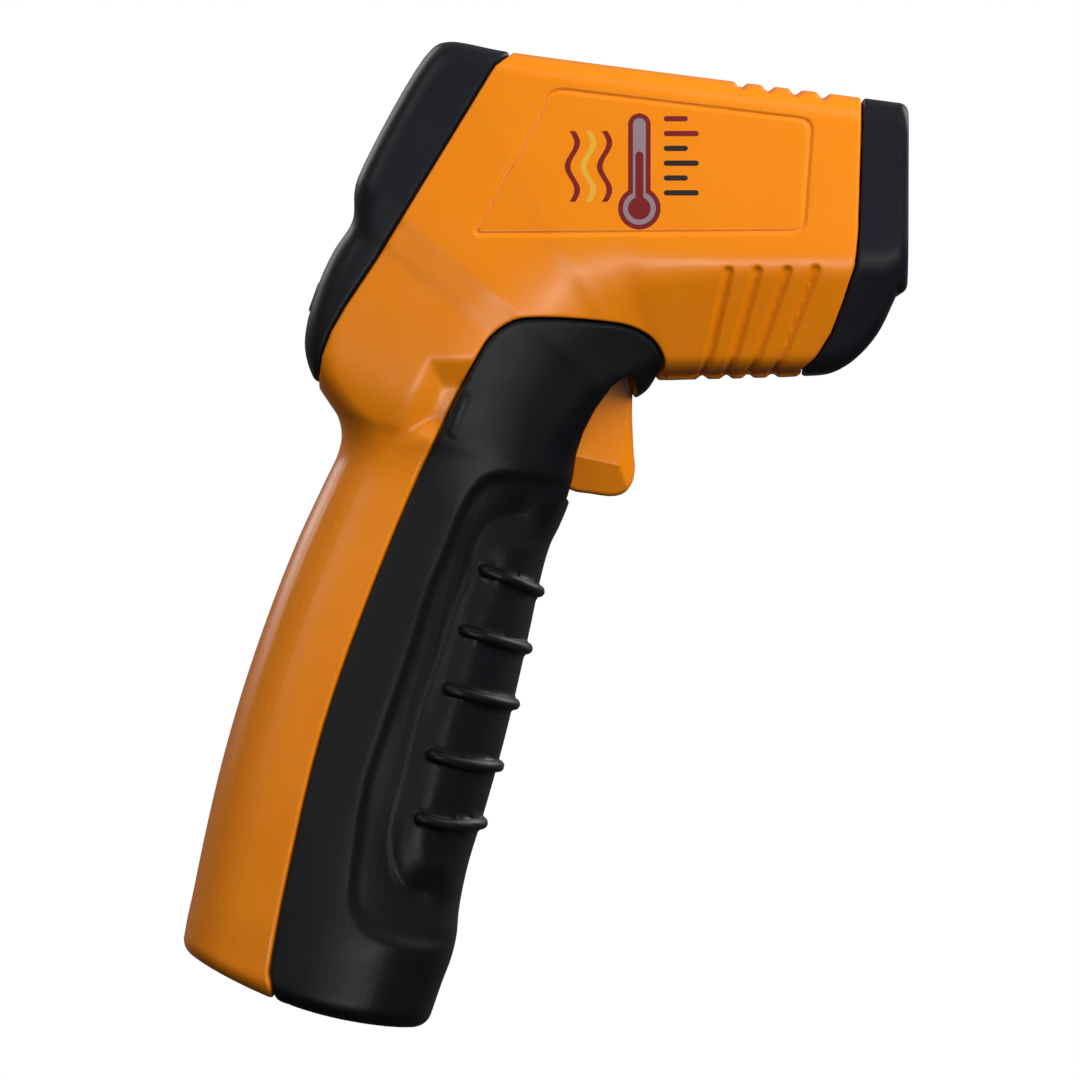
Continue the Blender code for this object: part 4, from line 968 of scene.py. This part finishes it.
def sensor_cup_profile():
    """A cone with fine steps that keep stray reflections from the lens, and rounded rims."""
    mouth, throat, rings = FRONT_X - 0.35, 62.0, 11
    start = mouth - 1.2
    rim = ((0.35, 0.0), (0.1, 0.08), (0.0, 0.3), (0.1, 0.5))
    profile = [(mouth - back, SENSOR_R - draw) for back, draw in rim]
    for k in range(rings):
        x, r = start - (start - throat) * k / rings, 7.8 - 2.8 * k / rings
        ahead = start - (start - throat) * (k + 0.62) / rings
        profile += [(x, r), (ahead, r - 0.06), (ahead - 0.1, r - 0.2)]
    return [*profile, (throat, 5.0), (61.7, 5.0), (61.7, 6.5), (48.0, 6.5), (48.0, SENSOR_R)]


def lens_profile():
    """A flange behind a bulging face, with a hair's breadth left open on the axis."""
    edge, radius, bulge, gap = 61.4, 4.8, 0.75, 0.02
    face = [(edge + bulge * x, radius * y + gap) for x, y in circle(0, 0, 1, range(80, -1, -10))]
    return [(60.1, gap), (60.1, 6.2), (61.3, 6.2), (edge, 4.95), *face]


turned("sensor_cup_turned", sensor_cup_profile(), BLACK, ["sensor_cup"])
turned("infrared_lens_turned", lens_profile(), LENS, ["infrared_lens"])


def plate(name, outline, place, low, high, mat, body):
    """A flat outline on a place's own plane, made solid from low to high along its +Z."""
    count = len(outline)
    points = placed([(x, y, level) for level in (low, high) for x, y in outline], place)
    faces = [tuple(range(count)), tuple(range(count, 2 * count))]
    faces += [(k, (k + 1) % count, (k + 1) % count + count, k + count) for k in range(count)]
    add_mesh(name, points, faces, mat, body)


DIGITS = {"3": "abgcd", "6": "acdefg", "5": "acdfg"}


def segment_bars(lit):
    """Outlines of a digit's lit bars, from its top left corner."""
    width, half_height, bar, nick = 4.2, 4.3, 0.62, 0.16
    bars = {
        "a": ((0, 0), (0, 1)), "b": ((0, 1), (1, 1)), "c": ((1, 1), (2, 1)), "d": ((2, 0), (2, 1)),
        "e": ((1, 0), (2, 0)), "f": ((0, 0), (1, 0)), "g": ((1, 0), (1, 1)),
    }
    found = []
    for letter in lit:
        (row_1, side_1), (row_2, side_2) = bars[letter]
        start = Vector((row_1 * half_height, side_1 * width))
        end = Vector((row_2 * half_height, side_2 * width))
        run = (end - start).normalized()
        start, end = start + run * nick, end - run * nick
        slant = Vector((run.x - run.y, run.y + run.x)) * bar / 2
        back = Vector((run.x + run.y, run.y - run.x)) * bar / 2
        corners = (start, start + slant, end - back, end, end - slant, start + back)
        found.append([tuple(corner) for corner in corners])
    return found


def make_display():
    """Three digits with a point, a degree sign and a cell gauge, on the face of the liquid-crystal panel."""
    face, first_left, top, pitch = 2.6, 9.4, -4.2, 6.6
    shapes = {}
    for k, digit in enumerate("365"):
        # the display's own +Y is to the left of someone who reads it, so digits run along -Y
        for bar in segment_bars(DIGITS[digit]):
            shapes[f"segment_{len(shapes)}"] = [(top + u, first_left - v - k * pitch) for u, v in bar]
    shapes["segment_point"] = circle(4.1, -2.9, 0.42, range(0, 360, 30))
    shapes["segment_degree"] = circle(-3.4, -9.6, 0.62, range(0, 360, 30))
    for k in range(4):
        foot, low, high = 5.6 - 2.4 * k, -12.6, -11.4 + 0.45 * k
        shapes[f"segment_bar_{k}"] = [(foot, low), (foot, high), (foot - 1.4, high), (foot - 1.4, low)]
    for name, outline in shapes.items():
        plate(name, outline, DISPLAY, face - 0.12, face - 0.03, SEGMENTS, "body")


def key_cap(name, middle):
    """A key cap: rounded corners, a rounded top edge and a slightly dished face."""
    half_up, half_across = (size / 2 for size in BUTTON_SIZE)
    top, bottom, radius, dish, steps = -KEY_PROUD, 2.4, 0.6, 0.12, 6
    outline = rounded(oblong(half_up, half_across), 1.3, 8)
    rings = [(bottom, 0.0)]
    for k in range(steps + 1):
        turn = math.pi / 2 * k / steps
        rings.append((top + radius * (1 - math.sin(turn)), radius * (1 - math.cos(turn))))
    for k in range(1, steps + 1):
        draw = radius + (half_up - radius) * k / steps * 0.98
        rings.append((top + dish * math.sin(math.pi / 2 * k / steps), draw))
    points = []
    for depth, draw in rings:
        share_up, share_across = 1 - draw / half_up, 1 - draw / half_across
        points += [(x * share_up, middle + y * share_across, depth) for x, y in outline]
    count, last = len(outline), (len(rings) - 1) * len(outline)
    faces = [
        (r + k, r + (k + 1) % count, r + count + (k + 1) % count, r + count + k)
        for r in range(0, last, count)
        for k in range(count)
    ]
    faces += [tuple(range(count)), tuple(range(last, last + count))]
    add_mesh(f"{name}_cap", placed(points, KEYPAD), faces, RUBBER, name, [name], sharp=40)


KEY_SIGNS = {
    "button_left": [oblong(0.9, 0.25), oblong(0.25, 1.2)],
    "button_centre": [[(0.5, -1.4), (-0.9, 0.0), (0.5, 1.4), (1.0, 1.1), (0.0, 0.0), (1.0, -1.1)]],
    "button_right": [circle(0, 0, 0.9, range(0, 360, 20))],
}


def make_keys():
    """Three keys, their signs standing just proud of the dished faces."""
    for k, (name, signs) in enumerate(KEY_SIGNS.items()):
        middle = (k - 1) * BUTTON_PITCH
        key_cap(name, middle)
        outside, inside = -KEY_PROUD + 0.01, -KEY_PROUD + 0.26
        for i, sign in enumerate(signs):
            outline = [(x, middle + y) for x, y in sign]
            plate(f"{name}_legend_{i}", outline, KEYPAD, outside, inside, LEGEND, name)


make_display()
make_keys()

# ---------- printed pictogram on the side panels


def capsule(x1, z1, x2, z2, radius):
    """The outline of a round-ended bar."""
    turn = math.degrees(math.atan2(z2 - z1, x2 - x1))
    far_end = circle(x2, z2, radius, [turn + a for a in range(-90, 91, 10)])
    return far_end + circle(x1, z1, radius, [turn + a for a in range(90, 271, 10)])


def thermometer(x, z, grow):
    """A bulb with a stem above it, as one outline."""
    bulb, stem, height = 3.3 + grow, 1.75 + grow, 13.0
    lean = math.degrees(math.asin(stem / bulb))
    foot = circle(x, z, bulb, np.linspace(90 + lean, 450 - lean, 40))
    return foot + circle(x, z + height, stem, range(0, 181, 10))


def heat_wave(x, low, high):
    """A wavy upright stripe, as one outline."""
    steps, period, swing, half = 24, 16, 0.75, 0.45
    line = []
    for t in range(steps + 1):
        line.append((x + swing * math.sin(math.tau * t / period), low + (high - low) * t / steps))
    return [(x + half, z) for x, z in line] + [(x - half, z) for x, z in reversed(line)]


def make_pictogram():
    """A plain thermometer with scale marks and heat waves, printed in the panel on both sides."""
    x, z = 37.4, 76.6
    shapes = [
        ("print_case", thermometer(x, z, 0.0), PRINT_RED, 0),
        ("print_glass", thermometer(x, z, -0.75), PRINT_GREY, 1),
        ("print_column", capsule(x, z, x, z + 8.2, 0.62), PRINT_RED, 2),
        ("print_bulb", circle(x, z, 1.75, range(0, 360, 8)), PRINT_RED, 3),
    ]
    for k in range(6):
        start, level, length = x + 4.2, z + 2.4 + 2.3 * k, 2.9 if k % 2 else 4.6
        mark = capsule(start, level, start + length, level, 0.42)
        shapes.append((f"print_mark_{k}", mark, PRINT_BLACK if k < 4 else PRINT_RED, 0))
    for k in range(3):
        wave = heat_wave(x - 5.4 - 2.5 * k, z + 1.0, z + 12.0)
        shapes.append((f"print_wave_{k}", wave, PRINT_YELLOW if k == 1 else PRINT_RED, 0))
    sunk, layer_height = 0.13, 0.012
    for side, label in ((-1, "right"), (1, "left")):
        place = Matrix(((1, 0, 0, 0), (0, 0, side, side * (HEAD_HALF - sunk)), (0, 1, 0, 0), (0, 0, 0, 1)))
        for name, outline, mat, layer in shapes:
            high = layer_height + layer_height * layer
            plate(f"{name}_{label}", outline, place, -0.03, high, mat, "body")


make_pictogram()

# ---------- camera and light

VIEW_CENTRE = Vector((21.978, 0, 25.118)) * MM
VIEW_WIDTH = 169.545 * MM
camera_data = bpy.data.cameras.new("camera")
camera_data.lens = 400
camera_data.sensor_width = 36
camera = bpy.data.objects.new("camera", camera_data)
SCENE.collection.objects.link(camera)
distance = VIEW_WIDTH * camera_data.lens / camera_data.sensor_width
camera.location = VIEW_CENTRE + Vector((0, -distance, 0))
camera.rotation_euler = (math.radians(90), 0, 0)
SCENE.camera = camera


def area_light(name, location, target, size, power, size_y=None, diffuse=True, glossy=True):
    """An area light that faces the target; it can be left out of diffuse light or of reflections."""
    data = bpy.data.lights.new(name, "AREA")
    data.energy = power
    data.size = size
    if size_y:
        data.shape = "RECTANGLE"
        data.size_y = size_y
    obj = bpy.data.objects.new(name, data)
    obj.location = location
    obj.rotation_euler = (Vector(target) - Vector(location)).to_track_quat("-Z", "Y").to_euler()
    obj.visible_diffuse = diffuse
    obj.visible_glossy = glossy
    SCENE.collection.objects.link(obj)


HEAD = (0.03, 0, 0.09)
MIDDLE = (0.02, 0, 0.03)
# the key light is left out of reflections and the low strip shows only in them, for soft highlights
area_light("key_front_right", (0.26, -0.34, 0.26), HEAD, 0.38, 2.3, glossy=False)
area_light("fill_left", (-0.45, -0.6, 0.35), HEAD, 0.35, 0.6)
area_light("back_left", (-0.7, 0.6, 0.6), MIDDLE, 0.7, 4.0)
area_light("back_right", (0.8, 0.5, 0.5), MIDDLE, 0.7, 4.0)
area_light("low_front_strip", (0.10, -0.8, -0.26), HEAD, 0.6, 1.3, 0.022, diffuse=False)

world = bpy.data.worlds.new("studio")
SCENE.world = world
world.use_nodes = True
world_nodes, world_links = world.node_tree.nodes, world.node_tree.links
background = world_nodes["Background"]
ray = world_nodes.new("ShaderNodeLightPath")
where = world_nodes.new("ShaderNodeTexCoord")
split = world_nodes.new("ShaderNodeSeparateXYZ")
chosen = world_nodes.new("ShaderNodeMix")
set_inputs(chosen, B=1.0)
set_inputs(background, Color=(1, 1, 1, 1))
world_links.new(where.outputs["Generated"], split.inputs["Vector"])
# the surroundings brighten with height, and the camera sees plain white behind the object
brightness = ranged(world_nodes, world_links, split.outputs["Z"], 0.03, 0.24, -0.5, 0.9)
world_links.new(brightness, chosen.inputs["A"])
world_links.new(ray.outputs["Is Camera Ray"], chosen.inputs["Factor"])
world_links.new(chosen.outputs["Result"], background.inputs["Strength"])

SCENE.view_settings.view_transform = "Standard"
